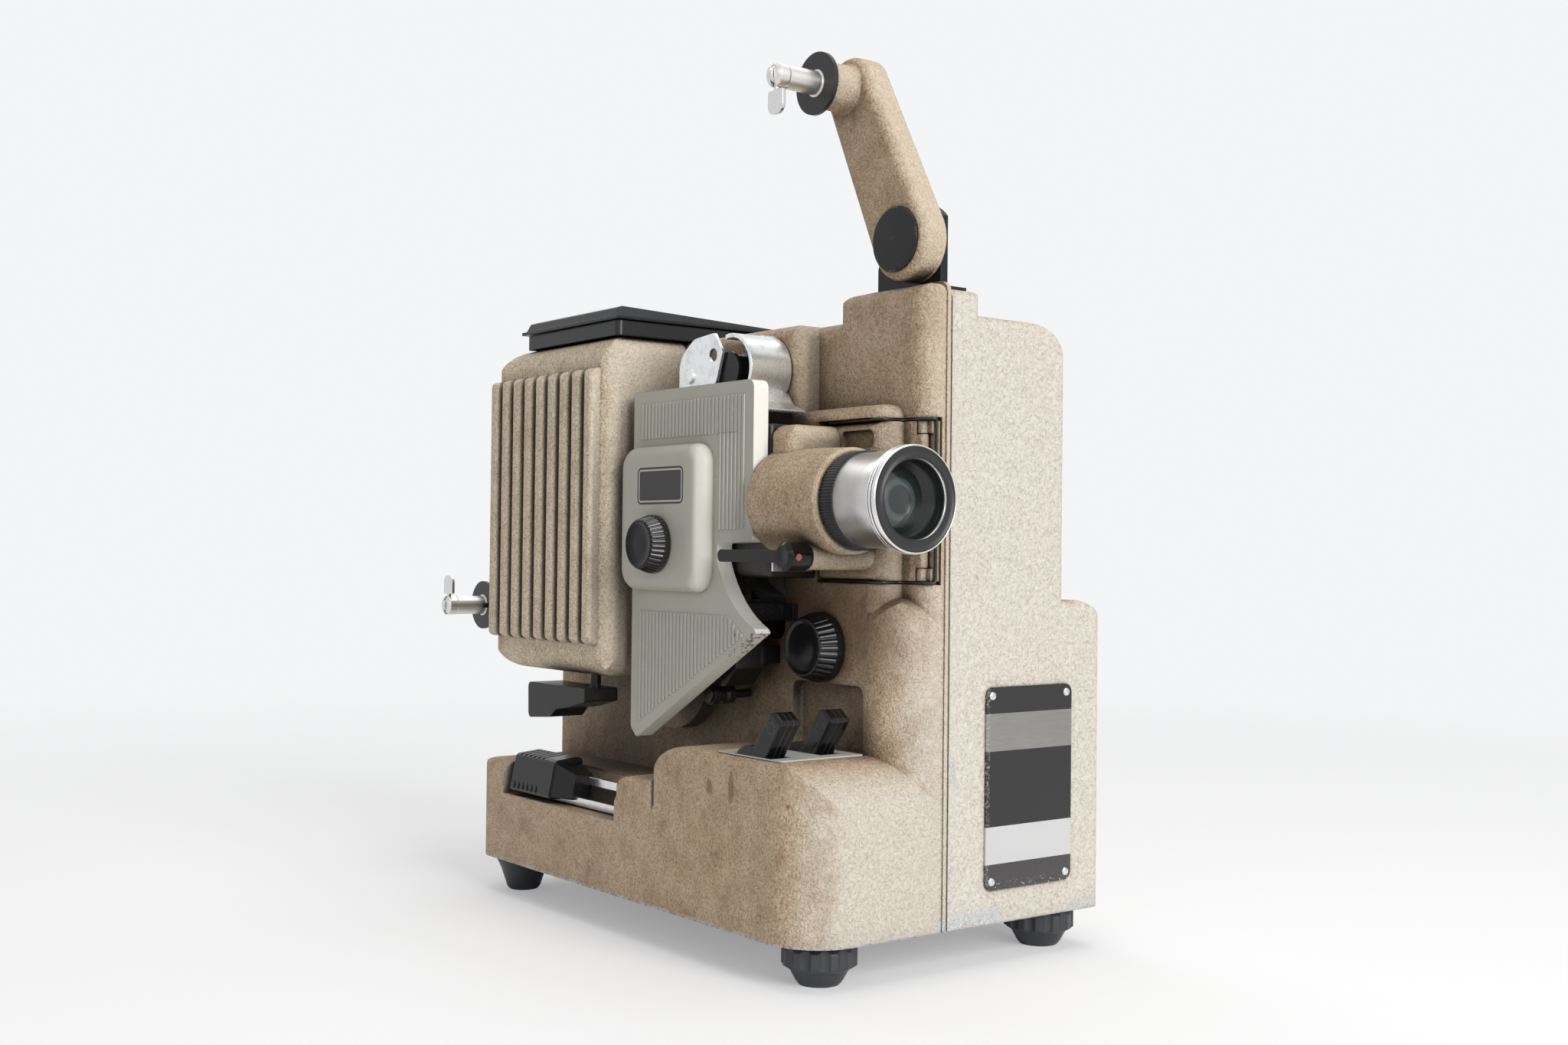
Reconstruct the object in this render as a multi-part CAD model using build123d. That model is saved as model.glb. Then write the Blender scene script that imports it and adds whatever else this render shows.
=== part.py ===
from build123d import *
import math
import os

# Frame of the drawing: X = 0 is the joint between the two castings, film side to -X,
# Y = 0 is the front face, Z = 0 the lower rim of the castings. All in millimetres.

# Clearances
slip = 0.3             # between a moving piece and whatever it passes
running = 0.05         # radial, of a shaft in its bore

# Castings
body_depth = 213.5
casting_wall = 2.5
base_reach = 57.0
base_height = 38.5
base_front_round = 18.5
base_rear_round = 10.0
base_edge_round = 7.0
hump_height = 56.0
hump_depth = 88.0
hump_front_round = 18.0
hump_rear_round = 19.0
hump_side_round = 5.0
shoulder_start = 86.0
shoulder_end = 113.0
shoulder_height = 43.0
shoulder_width = 15.0
shoulder_round = 6.5
wall_reach = 18.5
front_reach = 9.0
front_round = 8.6
front_band_depth = 12.0
deck_height = 200.0
deck_round = 4.5
upper_wall_start = 56.5
ledge_height = 170.0
nose_height = 107.0
nose_round = 9.0
tower_height = deck_height + 8.8
tower_depth = 46.5
boss_y = 122.0
boss_z = 80.0
boss_radius = 24.0
boss_rise = 6.5
bead_width = 1.6
bead_rise = 1.0

# Cover of the drive side
cover_reach = 54.7
cover_round = 18.0
cover_corner = 4.0
bulge_reach = 73.0
bulge_height = 106.0
bulge_round = 12.0
cover_tower_reach = 14.3
cover_tower_height = deck_height + 7.7
cover_wall = 2.5
vent_width = 3.0
vent_length = 40.0
vent_pitch = 7.0
vent_count = 8
vent_start = 92.0
upper_vent_bottom = 125.0
lower_vent_bottom = 34.0

# Mains inlet, voltage selector and screws of the cover
inlet_x = 46.0
inlet_z = 30.0
inlet_width = 27.0
inlet_height = 20.0
inlet_depth = 14.0
selector_x = 18.0
selector_radius = 9.0
cover_screw_edge = 14.0
cover_screw_low = 16.0
cover_screw_high = deck_height - 28.0
cover_screw_rear = body_depth - cover_screw_edge
cover_screw_places = [(cover_screw_edge, cover_screw_high), (cover_screw_rear, cover_screw_high),
                      (cover_screw_edge, cover_screw_low), (cover_screw_rear, cover_screw_low)]

# Optical axis, parallel to Y
axis_x = -31.0
axis_z = 137.9

# Lens
lens_front = -19.1
front_ring_radius = 16.8
front_ring_length = 4.5
barrel_radius = 15.0
barrel_length = 17.4
zoom_ring_radius = 15.75
zoom_ring_length = 6.0
zoom_ring_flutes = 48
lens_tube_radius = 13.0
lens_tube_length = 29.0
lens_mouth_radius = 12.25
lens_bore_radius = 10.8
lens_travel = 6.0
glass_depth = 9.0

# Lens carrier
carrier_bottom = 112.6
carrier_top = 164.2
carrier_rear = 43.8
carrier_back = -5.4
carrier_wall = 2.5
carrier_boss_radius = 17.0
carrier_boss_front = 9.4
carrier_seam = 1.2
carrier_hinge_x = -6.2
carrier_hinge_y = 5.6
hinge_pin_radius = 1.0
hinge_knuckle_radius = 2.0
hinge_knuckle_length = 4.0

# Gate
gate_face = 44.8
gate_rear = 80.0
gate_reach = 38.0
aperture_width = 5.0
aperture_height = 4.0
gate_light_radius = 6.0

# Gate lever
gate_lever_y = 20.4
gate_lever_z = 120.1
gate_lever_hub_radius = 4.6
gate_lever_inner = -43.0
gate_lever_outer = -52.0
gate_lever_tip = 56.4
gate_lever_thickness = 4.1
gate_stem_radius = 2.2

# Film door
door_outer = -45.0
door_thickness = 6.0
door_skin = 2.0
door_front = 45.5
door_rear = 118.6
door_top = 178.3
door_pins = [(104.0, 168.0), (106.0, 76.0)]
door_pin_radius = 2.0
door_pin_end = 2.0
door_box_proud = 6.0
door_box_front = 57.6
door_box_bottom = 108.0
door_box_top = 157.6
door_arc_centre = (28.8, 132.6)
door_arc_radius = 39.5
door_arc_start = math.radians(-22.3)
door_arc_end = math.radians(-67.3)
door_rib_pitch = 2.2
door_rib_height = 0.45
door_knob_y = 94.5
door_knob_z = 123.7
door_knob_radius = 10.2
door_knob_height = 7.0

# Inching knob
inching_y = 41.0
inching_z = 89.9
inching_radius = 11.8
inching_height = 9.0

# Switch levers
lever_y = 35.0
lever_z = 50.85
lever_hub_radius = 8.95
lever_lean = 36.0
lever_paddle_length = 24.0
lever_paddle_width = 7.5
lever_thickness = 8.0
lever_x = (8.0 - base_reach, 28.0 - base_reach)

# Slot with the speed slide
slot_front = 110.0
slot_rear = body_depth - 21.5
slot_floor = 26.2
slot_inner = 21.0 - base_reach
slider_length = 30.0
slider_rear = slot_rear - 5.0
slider_front = slider_rear - slider_length
slider_inner = 15.0 - base_reach
slider_nose = 10.0
slider_travel = 30.0
rail_upper = (12.0 - base_reach, 35.2)
rail_lower = (6.6 - base_reach, 28.1)
rail_height = 3.0
rail_thickness = 1.5

# Lamp house
lamp_front = 124.5
lamp_rear = body_depth - 3.5
lamp_bottom = 75.0
lamp_reach = 53.0
lamp_wall = 2.2
rib_reach = lamp_reach + 4.0
rib_count = 9
rib_first = lamp_front + 4.8
rib_pitch = (lamp_rear - lamp_front - 13.5) / (rib_count - 1)
rib_width = 5.8
rib_bottom = lamp_bottom + 12.0
rib_top = deck_height - 12.0
condenser_radius = 10.0
lamp_y = lamp_rear - 47.0
lamp_bulb_radius = 9.0
lamp_lever_x = 6.0 - lamp_reach
lamp_lever_y = lamp_front + 15.5
lamp_lever_pin = 2.0

# Cap over the lamp house
cap_start = 4.5 - lamp_reach
cap_end = 34.0
cap_front = lamp_front + 0.5
cap_rear = lamp_rear - 17.0
cap_band = 5.5
cap_lip = 1.5
lid_rise_film = 5.2
lid_rise_drive = 1.6
lid_skin = 1.6
lid_hinge_radius = 1.6

# Reel arms
arm_thickness = 10.0
arm_edge_round = 3.5
arm_pivot_radius = 13.3
arm_tip_radius = 11.3
arm_boss_radius = 8.1
arm_boss_length = 11.0
feed_pivot = (15.5, deck_height + 24.0)
feed_length = 61.3
feed_lean = 26.5
takeup_pivot = (body_depth + 14.0, 96.5)
takeup_length = 50.5
takeup_lean = 90.0
pivot_disc_radius = 10.8
pivot_pin_radius = 4.0
spindle_flange_radius = 10.5
spindle_flange_thickness = 1.5
spindle_radius = 4.0
spindle_shaft_end = -36.0
spindle_tip_end = -41.0
latch_length = 13.0
latch_width = 8.0
latch_thickness = 1.2
latch_tongue = 1.6
latch_inset = 2.0
bracket_thickness = 3.0

# Front plate
plate_width = 40.0
plate_height = 66.5
plate_thickness = 0.8
plate_x = 36.95
plate_z = 44.45
rivet_spacing_x = 34.7
rivet_spacing_z = 60.9
rivet_radius = 1.5

# Feet
floor_drop = 13.5
front_foot_radius = 12.0
front_foot_y = 15.0
front_foot_x = (17.5 - base_reach, bulge_reach - 15.0)
rear_foot_radius = 9.0
rear_foot_y = body_depth - 13.5
rear_foot_x = (14.0 - base_reach, bulge_reach - 15.0)
foot_screw_radius = 3.0
foot_travel = 6.0
bottom_thickness = 2.0

# Film guides
sprocket_radius = 6.5
sprocket_width = 9.0
upper_sprocket_y = 74.0
upper_sprocket_z = 184.0
lower_sprocket_y = 76.0
lower_sprocket_z = 86.0
shoe_radius = 12.5
shoe_skin = 1.4
sprocket_shaft_radius = 2.5

# Drive
shutter_x = -10.5
shutter_radius = 24.5
shutter_y = 72.0
shutter_shaft_radius = 1.5
shutter_pulley_radius = 4.0
pulley_y = 103.0
pulley_width = 5.0
motor_x = 30.0
motor_z = 122.0
motor_radius = 21.0
motor_length = 56.0
motor_front = body_depth - 43.5 - motor_length
motor_pulley_radius = 3.6
motor_shaft_radius = 2.0
fan_radius = 19.0
fan_blades = 8
belt_radius = 1.2


def boxed(x, y, z):
    """Block between two values on each axis."""
    middle = Pos((x[0] + x[1]) / 2, (y[0] + y[1]) / 2, (z[0] + z[1]) / 2)
    return middle * Box(x[1] - x[0], y[1] - y[0], z[1] - z[0])


def outline(points, radii=0):
    """Flat face inside a closed run of straight lines with rounded corners."""
    if isinstance(radii, (int, float)):
        radii = [radii] * len(points)
    return make_face(FilletPolyline(*points, radius=list(radii), close=True))


def prism_x(points, radii, x):
    """Outline drawn in Y and Z, drawn out along X."""
    return extrude(Plane.YZ.offset(x[0]) * outline(points, radii), amount=x[1] - x[0])


def prism_y(points, radii, y):
    """Outline drawn in X and Z, drawn out along Y."""
    return extrude(Plane.XZ.offset(-y[1]) * outline(points, radii), amount=y[1] - y[0])


def prism_z(points, radii, z):
    """Outline drawn in X and Y, drawn out along Z."""
    return extrude(Plane.XY.offset(z[0]) * outline(points, radii), amount=z[1] - z[0])


def corners(a, b):
    """Corners of a rectangle: low low, high low, high high, low high."""
    return [(a[0], b[0]), (a[1], b[0]), (a[1], b[1]), (a[0], b[1])]


def moulded(x, y, z, plan=None, side=None, front=None):
    """Block with corners rounded in plan (X Y), from the side (Y Z) and from the front (X Z)."""
    shape = prism_z(corners(x, y), plan or 0, z)
    if side:
        for waste in corner_wastes(y, z, side):
            shape -= extrude(Plane.YZ.offset(x[0] - 1) * waste, amount=x[1] - x[0] + 2)
    if front:
        for waste in corner_wastes(x, z, front):
            shape -= extrude(Plane.XZ.offset(-y[1] - 1) * waste, amount=y[1] - y[0] + 2)
    return shape


def corner_wastes(a, b, radii):
    """Faces to cut away so that a rectangle's corners come out round."""
    wastes = []
    signs = [(-1, -1), (1, -1), (1, 1), (-1, 1)]
    for (u, v), (su, sv), r in zip(corners(a, b), signs, radii):
        if r > 0:
            centre = (u - su * r, v - sv * r)
            middle = (centre[0] + su * r * math.sqrt(0.5), centre[1] + sv * r * math.sqrt(0.5))
            arc = ThreePointArc((u, centre[1]), middle, (centre[0], v))
            rest = Polyline((centre[0], v), (centre[0], v + sv), (u + su, v + sv), (u + su, centre[1]), (u, centre[1]))
            wastes.append(make_face(arc + rest))
    return wastes


def rod_x(y, z, radius, x):
    """Round bar along X."""
    return Pos((x[0] + x[1]) / 2, y, z) * Rot(0, 90, 0) * Cylinder(radius, x[1] - x[0])


def rod_y(x, z, radius, y):
    """Round bar along Y."""
    return Pos(x, (y[0] + y[1]) / 2, z) * Rot(90, 0, 0) * Cylinder(radius, y[1] - y[0])


def rod_z(x, y, radius, z):
    """Round bar along Z."""
    return Pos(x, y, (z[0] + z[1]) / 2) * Cylinder(radius, z[1] - z[0])


def turned_y(x, z, points):
    """Turned piece about an axis along Y through x and z; points are (radius, y)."""
    face = make_face(Polyline(*[(r, y) for r, y in points], close=True))
    return Pos(x, 0, z) * revolve(face, Axis.Y)


def turned_x(y, z, points):
    """Turned piece about an axis along X through y and z; points are (x, radius)."""
    face = make_face(Polyline(*points, close=True))
    return Pos(0, y, z) * revolve(face, Axis.X)


def turned_z(x, y, points):
    """Turned piece about an axis along Z through x and y; points are (radius, z)."""
    face = make_face(Polyline(*[(r, z) for r, z in points], close=True))
    return Pos(x, y, 0) * revolve(Plane.XZ * face, Axis.Z)


def fluted_knob_x(y, z, x_seat, height, radius, flutes, taper):
    """Round knob along -X with grooves round its rim and a dished face."""
    tip = x_seat - height
    top_radius = radius - taper
    knob = turned_x(y, z, [(x_seat, 0), (x_seat, radius), (tip + 1.0, top_radius), (tip, top_radius - 1.0),
                           (tip, top_radius - 2.0), (tip + 0.8, 0)])
    groove = radius * math.pi / flutes * 0.5
    slope = 90 - math.degrees(math.atan(taper / height))
    cutter = Pos(x_seat - height / 2 - 0.8, 0, radius - taper / 2) * Rot(0, slope, 0) * Cylinder(groove, height - 0.6)
    return knob - [Pos(0, y, z) * Rot(360 / flutes * index, 0, 0) * cutter for index in range(flutes)]


# Casting of the film side


def base_form(inset):
    """Base block with the lever hump and the shoulder in front of the slot."""
    end = 0 if inset == 0 else 1
    low = 0 if inset == 0 else -1
    x = (-base_reach + inset, end)
    front_round_in = base_front_round - inset
    edge = base_edge_round - inset
    base = moulded(x, (inset, body_depth - inset), (low, base_height - inset),
                   plan=(front_round_in, 0, 0, base_rear_round - inset),
                   side=(0, 0, edge, edge), front=(0, 0, 0, edge))
    hump = moulded(x, (inset, hump_depth - inset), (low, hump_height - inset),
                   plan=(front_round_in, 0, 0, hump_side_round - inset),
                   side=(0, 0, hump_rear_round - inset, hump_front_round - inset),
                   front=(0, 0, 0, hump_side_round - inset))
    soft = shoulder_round - inset
    shoulder = moulded((x[0], -base_reach + shoulder_width - inset),
                       (shoulder_start + inset, shoulder_end - inset), (slot_floor / 2, shoulder_height - inset),
                       plan=(0, 0, 0, soft), side=(0, 0, 2 * soft + 1, 0), front=(0, 0, soft - 0.5, soft))
    return base + hump + shoulder


def wall_form(inset):
    """Upright wall: lower wall with its round nose, ledge, upper wall and tower."""
    end = 0 if inset == 0 else 1
    low = base_height - 2 * base_edge_round
    rear = body_depth - inset
    face = -wall_reach + inset
    thin = -front_reach + inset
    deck = deck_height - inset
    lower = boxed((face, end), (base_front_round, rear), (low, nose_height + 5))
    nose = moulded((face, end), (inset, base_front_round * 2), (low, nose_height - inset),
                   plan=(base_front_round - inset, 0, 0, 0),
                   side=(0, 0, 0, nose_round + 3 - inset), front=(0, 0, 0, nose_round - inset))
    ledge = moulded((face, end), (front_band_depth + inset, upper_wall_start * 2),
                    (nose_height - 5, ledge_height - inset),
                    plan=(front_round, 0, 0, 0), side=(0, 0, 0, 5), front=(0, 0, 0, 5.5 - inset))
    upper = moulded((face, end), (upper_wall_start + inset, rear), (nose_height - 5, deck),
                    plan=(5, 0, 0, 5), side=(0, 0, deck_round - inset, deck_round - inset),
                    front=(0, 0, 0, deck_round - inset))
    front = moulded((thin, end), (inset, rear), (low, deck),
                    plan=(front_round - inset, 0, 0, 5), side=(0, 0, deck_round - inset, 0),
                    front=(0, 0, 0, deck_round - inset))
    tower = moulded((thin, end), (inset, tower_depth - inset), (nose_height, tower_height - inset),
                    plan=(front_round - inset, 0, 0, 4), side=(0, 0, 8 - inset, 3.5 - inset / 2),
                    front=(0, 0, 0, 4 - inset))
    return lower + nose + ledge + upper + front + tower


def pocket_form(grow):
    """Space for the swinging lens carrier, with its hinge leaf at the front corner."""
    seam = carrier_seam + grow
    z = (carrier_bottom - seam, carrier_top + seam)
    behind = boxed((-wall_reach - 20, carrier_back + slip + grow), (-1 - grow, gate_face + grow), z)
    hinge_room = boxed((-wall_reach - 20, carrier_hinge_x + hinge_knuckle_radius + 1.3 + grow),
                       (-2 - grow, carrier_hinge_y + hinge_knuckle_radius + slip + grow), z)
    return behind + hinge_room


def niche_form(grow):
    """Shallow niche behind the switch levers."""
    return moulded((-wall_reach - 5, -wall_reach + 4 + grow), (20 - grow, 57 + grow),
                   (hump_height - 3, 78 + grow), plan=(0, 1, 1, 0), side=(0, 0, 3, 3))


def slot_form(grow):
    """Notch in the outer edge of the base for the slide."""
    floor = slot_floor - grow
    points = [(-base_reach - 5, floor), (-base_reach + 9, floor), (slot_inner + grow, base_height - 1),
              (slot_inner + grow, base_height + 5), (-base_reach - 5, base_height + 5)]
    return prism_y(points, 0, (slot_front - grow, slot_rear + grow))


def wall_boss(grow):
    """Round raised boss on the wall, half under the lamp house."""
    return rod_x(boss_y, boss_z, boss_radius + grow, (-wall_reach - boss_rise - grow, -wall_reach + 1))


def shutter_slot(x):
    """Slit that the shutter disc turns in."""
    half = math.sqrt(shutter_radius ** 2 - (wall_reach - casting_wall + shutter_x) ** 2) + 0.6
    return boxed(x, (shutter_y - 1, shutter_y + 2.2), (axis_z - half, axis_z + half))


def film_side_casting():
    shell = base_form(0) + wall_form(0)
    bead = moulded((-bead_width, 0), (-0.4, tower_depth - 1), (0, tower_height + bead_rise),
                   side=(0, 0, 7, 4))
    shell += bead
    shell += wall_boss(0)
    cavity = base_form(casting_wall) + wall_form(casting_wall)
    cavity -= pocket_form(casting_wall)
    cavity -= niche_form(casting_wall)
    cavity -= slot_form(casting_wall)
    shell -= cavity
    shell -= pocket_form(0)
    shell -= niche_form(0)
    shell -= slot_form(0)
    window = moulded((-wall_reach - 1, 1), (62.0, 85.0), (91.0, carrier_bottom - 0.6), side=(5, 5, 1, 1))
    shell -= window
    for x in lever_x:
        half = lever_thickness / 2 + slip
        shell -= boxed((x - half, x + half), (lever_y - lever_hub_radius - 3, lever_y + lever_hub_radius + 3),
                       (hump_height - 2 * casting_wall, hump_height + 2))
    shell -= rod_x(inching_y, inching_z, sprocket_shaft_radius + running, (-wall_reach - 1, 1))
    shell -= rod_x(upper_sprocket_y, upper_sprocket_z, sprocket_shaft_radius + running, (-wall_reach - 1, 1))
    shell -= rod_x(lower_sprocket_y, lower_sprocket_z, sprocket_shaft_radius + running, (-wall_reach - 1, 1))
    for y, z in door_pins:
        shell -= rod_x(y, z, door_pin_radius + running, (-wall_reach - boss_rise - 1, 1))
    shell -= shutter_slot((-wall_reach - 1, 0))
    return shell


# Cover of the drive side


def cover_form(inset):
    """Upper block with a rounded outer edge, lower bulge and the foot of the tower."""
    start = 0 if inset == 0 else -1
    low = 0 if inset == 0 else -1
    y = (inset, body_depth - inset)
    soft = cover_corner - inset
    upper = moulded((start, cover_reach - inset), y, (low, deck_height - inset),
                    plan=(0, soft, soft + 2, 0), side=(0, 0, soft, soft),
                    front=(0, 0, cover_round - inset, 0))
    bulge = moulded((start, bulge_reach - inset), y, (low, bulge_height - inset),
                    plan=(0, soft, soft + 3, 0), side=(0, 0, soft, soft),
                    front=(0, 0, bulge_round - inset, 0))
    tower = moulded((start, cover_tower_reach - inset), (inset, tower_depth - inset),
                    (deck_height - 30, cover_tower_height - inset),
                    plan=(0, soft, soft, 0), side=(0, 0, 8 - inset, soft), front=(0, 0, soft, 0))
    return upper + bulge + tower


def drive_cover():
    shell = cover_form(0) - cover_form(cover_wall)
    groove = 0.9
    shell -= boxed((-1, groove), (-1, groove), (-1, cover_tower_height + 5))
    shell -= boxed((-1, groove), (-1, tower_depth), (cover_tower_height - groove, cover_tower_height + 5))
    vents = []
    for index in range(vent_count):
        y = vent_start + vent_pitch * index
        for reach, low in ((cover_reach, upper_vent_bottom), (bulge_reach, lower_vent_bottom)):
            slit = prism_x(corners((y, y + vent_width), (low, low + vent_length)), vent_width / 2 - 0.1,
                           (reach - 5, reach + 5))
            vents.append(slit)
    shell -= vents
    shell -= inlet_form(slip)
    shell -= rod_y(selector_x, inlet_z, selector_radius + slip, (body_depth - 10, body_depth + 5))
    for y, z in cover_screw_places:
        shell -= rod_x(y, z, 2.2, (cover_reach - 10, bulge_reach + 5))
    return shell


def inlet_form(grow):
    """Outer form of the mains inlet in the rear wall."""
    half_width = inlet_width / 2 + grow
    half_height = inlet_height / 2 + grow
    return moulded((inlet_x - half_width, inlet_x + half_width), (body_depth - inlet_depth, body_depth + 1),
                   (inlet_z - half_height, inlet_z + half_height), front=(3, 3, 3, 3))


def mains_inlet():
    body = inlet_form(0)
    mouth = moulded((inlet_x - inlet_width / 2 + 2, inlet_x + inlet_width / 2 - 2),
                    (body_depth - inlet_depth + 2, body_depth + 2),
                    (inlet_z - inlet_height / 2 + 2, inlet_z + inlet_height / 2 - 2), front=(2, 2, 2, 2))
    body -= mouth
    for offset in (-6.0, 6.0):
        body += rod_y(inlet_x + offset, inlet_z, 1.8, (body_depth - inlet_depth + 1, body_depth - 2))
    return body


def voltage_selector():
    dial = turned_y(selector_x, inlet_z, [(0, body_depth - 8), (selector_radius, body_depth - 8),
                                          (selector_radius, body_depth + 0.6), (selector_radius - 1, body_depth + 1),
                                          (0, body_depth + 1)])
    return dial - boxed((selector_x - 5, selector_x + 5), (body_depth - 0.8, body_depth + 2),
                        (inlet_z - 0.7, inlet_z + 0.7))


def cover_screws():
    screws = []
    for y, z in cover_screw_places:
        reach = cover_reach if z > bulge_height else bulge_reach
        screw = turned_x(y, z, [(reach - 9, 0), (reach - 9, 1.9), (reach, 1.9), (reach, 3.6),
                                (reach + 0.9, 3.2), (reach + 1.3, 2.0), (reach + 1.3, 0)])
        slot = boxed((reach + 0.6, reach + 2), (y - 4, y + 4), (z - 0.4, z + 0.4))
        screws.append(screw - slot)
    return screws


def bottom_plate():
    gap = casting_wall + slip
    plate = moulded((-base_reach + gap, bulge_reach - gap), (gap, body_depth - gap), (slip, slip + bottom_thickness),
                    plan=(base_front_round, 2, cover_corner + 1, base_rear_round))
    holes = [rod_z(x, front_foot_y, foot_screw_radius + running, (-1, 10)) for x in front_foot_x]
    holes += [prism_z(corners((x, x + 4.0), (70.0, 150.0)), 1.9, (-1, 10)) for x in range(-32, 58, 10)]
    return plate - holes


def front_plate():
    half_width = plate_width / 2
    half_height = plate_height / 2
    return moulded((plate_x - half_width, plate_x + half_width), (-plate_thickness, 0),
                   (plate_z - half_height, plate_z + half_height), front=(3, 3, 3, 3))


def plate_rivets():
    rivets = []
    for side in (-1, 1):
        for level in (-1, 1):
            x = plate_x + side * rivet_spacing_x / 2
            z = plate_z + level * rivet_spacing_z / 2
            rivets.append(turned_y(x, z, [(0, -plate_thickness), (rivet_radius, -plate_thickness),
                                          (rivet_radius * 0.75, -plate_thickness - 0.5),
                                          (0, -plate_thickness - 0.7)]))
    return rivets


# Lamp house


def lamp_form(inset):
    """Lamp house, rounded at the rear, standing on the casting's wall."""
    inner = -wall_reach + (0 if inset == 0 else 1)
    return moulded((-lamp_reach + inset, inner), (lamp_front + inset, lamp_rear - inset),
                   (lamp_bottom + inset, deck_height - inset),
                   plan=(6 - inset, 0, 0, 6 - inset),
                   side=(8 - inset, 18 - inset, 18 - inset, 6 - inset),
                   front=(8 - inset, 0, 0, 10 - inset))


def lamp_house():
    ribs = []
    for index in range(rib_count):
        y = rib_first + rib_pitch * index
        ribs.append(moulded((-rib_reach, -lamp_reach + 1), (y, y + rib_width), (rib_bottom, rib_top),
                            plan=(1.6, 0, 0, 1.6), front=(3.5, 0, 0, 3.5)))
    ribs[-1] = ribs[-1] & lamp_rib_limit()
    shell = lamp_form(0) + ribs
    shell -= lamp_form(lamp_wall)
    shell -= wall_boss(slip)
    shell -= rod_z(lamp_lever_x, lamp_lever_y, lamp_lever_pin + running, (lamp_bottom - 1, lamp_bottom + 12))
    shell -= moulded((-46.0, -21.0), (cap_front + 5, cap_rear - 5), (deck_height - 5, deck_height + 1), plan=(3, 3, 3, 3))
    shell -= rod_y(axis_x, axis_z, condenser_radius + slip, (lamp_front - 2, lamp_front + 5))
    return shell


def lamp_rib_limit():
    """Keeps the last rib inside the lamp house's own outline."""
    return prism_x(corners((lamp_front, lamp_rear - 0.2), (lamp_bottom, deck_height)), (8, 18, 18, 6),
                   (-rib_reach, -lamp_reach + 1))


def condenser_lens():
    y = lamp_front + 0.2
    return turned_y(axis_x, axis_z, [(0, y), (condenser_radius, y + 1.5), (condenser_radius, y + 4.5), (0, y + 7.0)])


def projection_lamp():
    z = axis_z
    return turned_z(axis_x, lamp_y, [(0, z - 34), (7.0, z - 34), (7.0, z - 16), (lamp_bulb_radius - 1, z - 12),
                                     (lamp_bulb_radius, z - 8), (lamp_bulb_radius, z + 10),
                                     (lamp_bulb_radius - 2.5, z + 15), (3.0, z + 17.5), (0, z + 18)])


def lamp_socket():
    z = axis_z - 34
    floor = lamp_bottom + lamp_wall
    cup = turned_z(axis_x, lamp_y, [(0, floor), (9.5, floor), (9.5, z + 6), (7.3, z + 6), (7.3, z), (0, z)])
    return cup


def lamp_reflector():
    dish = turned_y(axis_x, axis_z, [(0, lamp_y + 21), (8, lamp_y + 19), (11.5, lamp_y + 14.5), (11.5, lamp_y + 16),
                                     (8, lamp_y + 20.5), (4, lamp_y + 22.5), (0, lamp_y + 22.5)])
    stem = rod_y(axis_x, axis_z, 3.0, (lamp_y + 22, lamp_rear - lamp_wall))
    return dish + stem


# Cap


def cap_frame():
    z = (deck_height, deck_height + cap_band)
    frame = moulded((cap_start, cap_end), (cap_front, cap_rear), z, plan=(2, 2, 2, 2))
    frame -= boxed((cap_start + 4.5, cap_end - 4), (cap_front + 5, cap_rear - 5), (z[0] + 2, z[1] + 1))
    frame -= boxed((-44.0, -22.0), (cap_front + 6, cap_rear - 6), (z[0] - 1, z[1]))
    hinge_x = cap_end + lid_hinge_radius + 0.5
    hinge_z = deck_height + cap_band
    leaf = boxed((cap_end - 2, hinge_x), (cap_front + 16, cap_rear - 16), (z[1] - 3, z[1] - 0.6))
    knuckle = rod_y(hinge_x, hinge_z, lid_hinge_radius, (cap_front + 16, cap_rear - 16))
    lid_room = boxed((cap_start, cap_end + 0.6), (cap_front, cap_rear), (z[1], z[1] + 5))
    pin = rod_y(hinge_x, hinge_z, 0.8, (cap_front + 5, cap_rear - 5))
    return frame + leaf + knuckle - lid_room + pin


def cap_lid():
    low = deck_height + cap_band + slip
    x = (cap_start - cap_lip, cap_end + cap_lip / 3)
    y = (cap_front - cap_lip, cap_rear + cap_lip)
    top_film = low + lid_rise_film
    top_drive = low + lid_rise_drive
    step = 1.2
    profile_x = [(x[0], low), (x[1], low), (x[1], top_drive), (x[0] + 4.5, top_film), (x[0] + 2.2, top_film - 0.8),
                 (x[0] + 1.2, low + step), (x[0], low + step)]
    profile_y = [(y[0], low), (y[1], low), (y[1], low + step), (y[1] - 1.2, low + step), (y[1] - 3.6, top_film),
                 (y[0] + 3.6, top_film), (y[0] + 1.2, low + step), (y[0], low + step)]
    lid = prism_y(profile_x, 0, y) & prism_x(profile_y, 0, x)
    inner = [(x[0] + 4, low - 1), (x[1] - 8, low - 1), (x[1] - 8, low + 0.3), (x[0] + 5, top_film - lid_skin)]
    lid -= prism_y(inner, 0, (y[0] + 5.5, y[1] - 5.5))
    hinge_x = cap_end + lid_hinge_radius + 0.5
    hinge_z = deck_height + cap_band
    for a, b in lid_knuckles():
        lid += rod_y(hinge_x, hinge_z, lid_hinge_radius, (a, b))
        lid += boxed((x[1] - 3, hinge_x), (a, b), (low, hinge_z + lid_hinge_radius))
        lid -= rod_y(hinge_x, hinge_z, 0.8 + running, (a - 1, b + 1))
    return lid


def lid_knuckles():
    """Lengths of the lid's two hinge knuckles, outside the frame's long one."""
    return [(cap_front + 6, cap_front + 16 - slip), (cap_rear - 16 + slip, cap_rear - 6)]


# Lens carrier and lens


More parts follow.
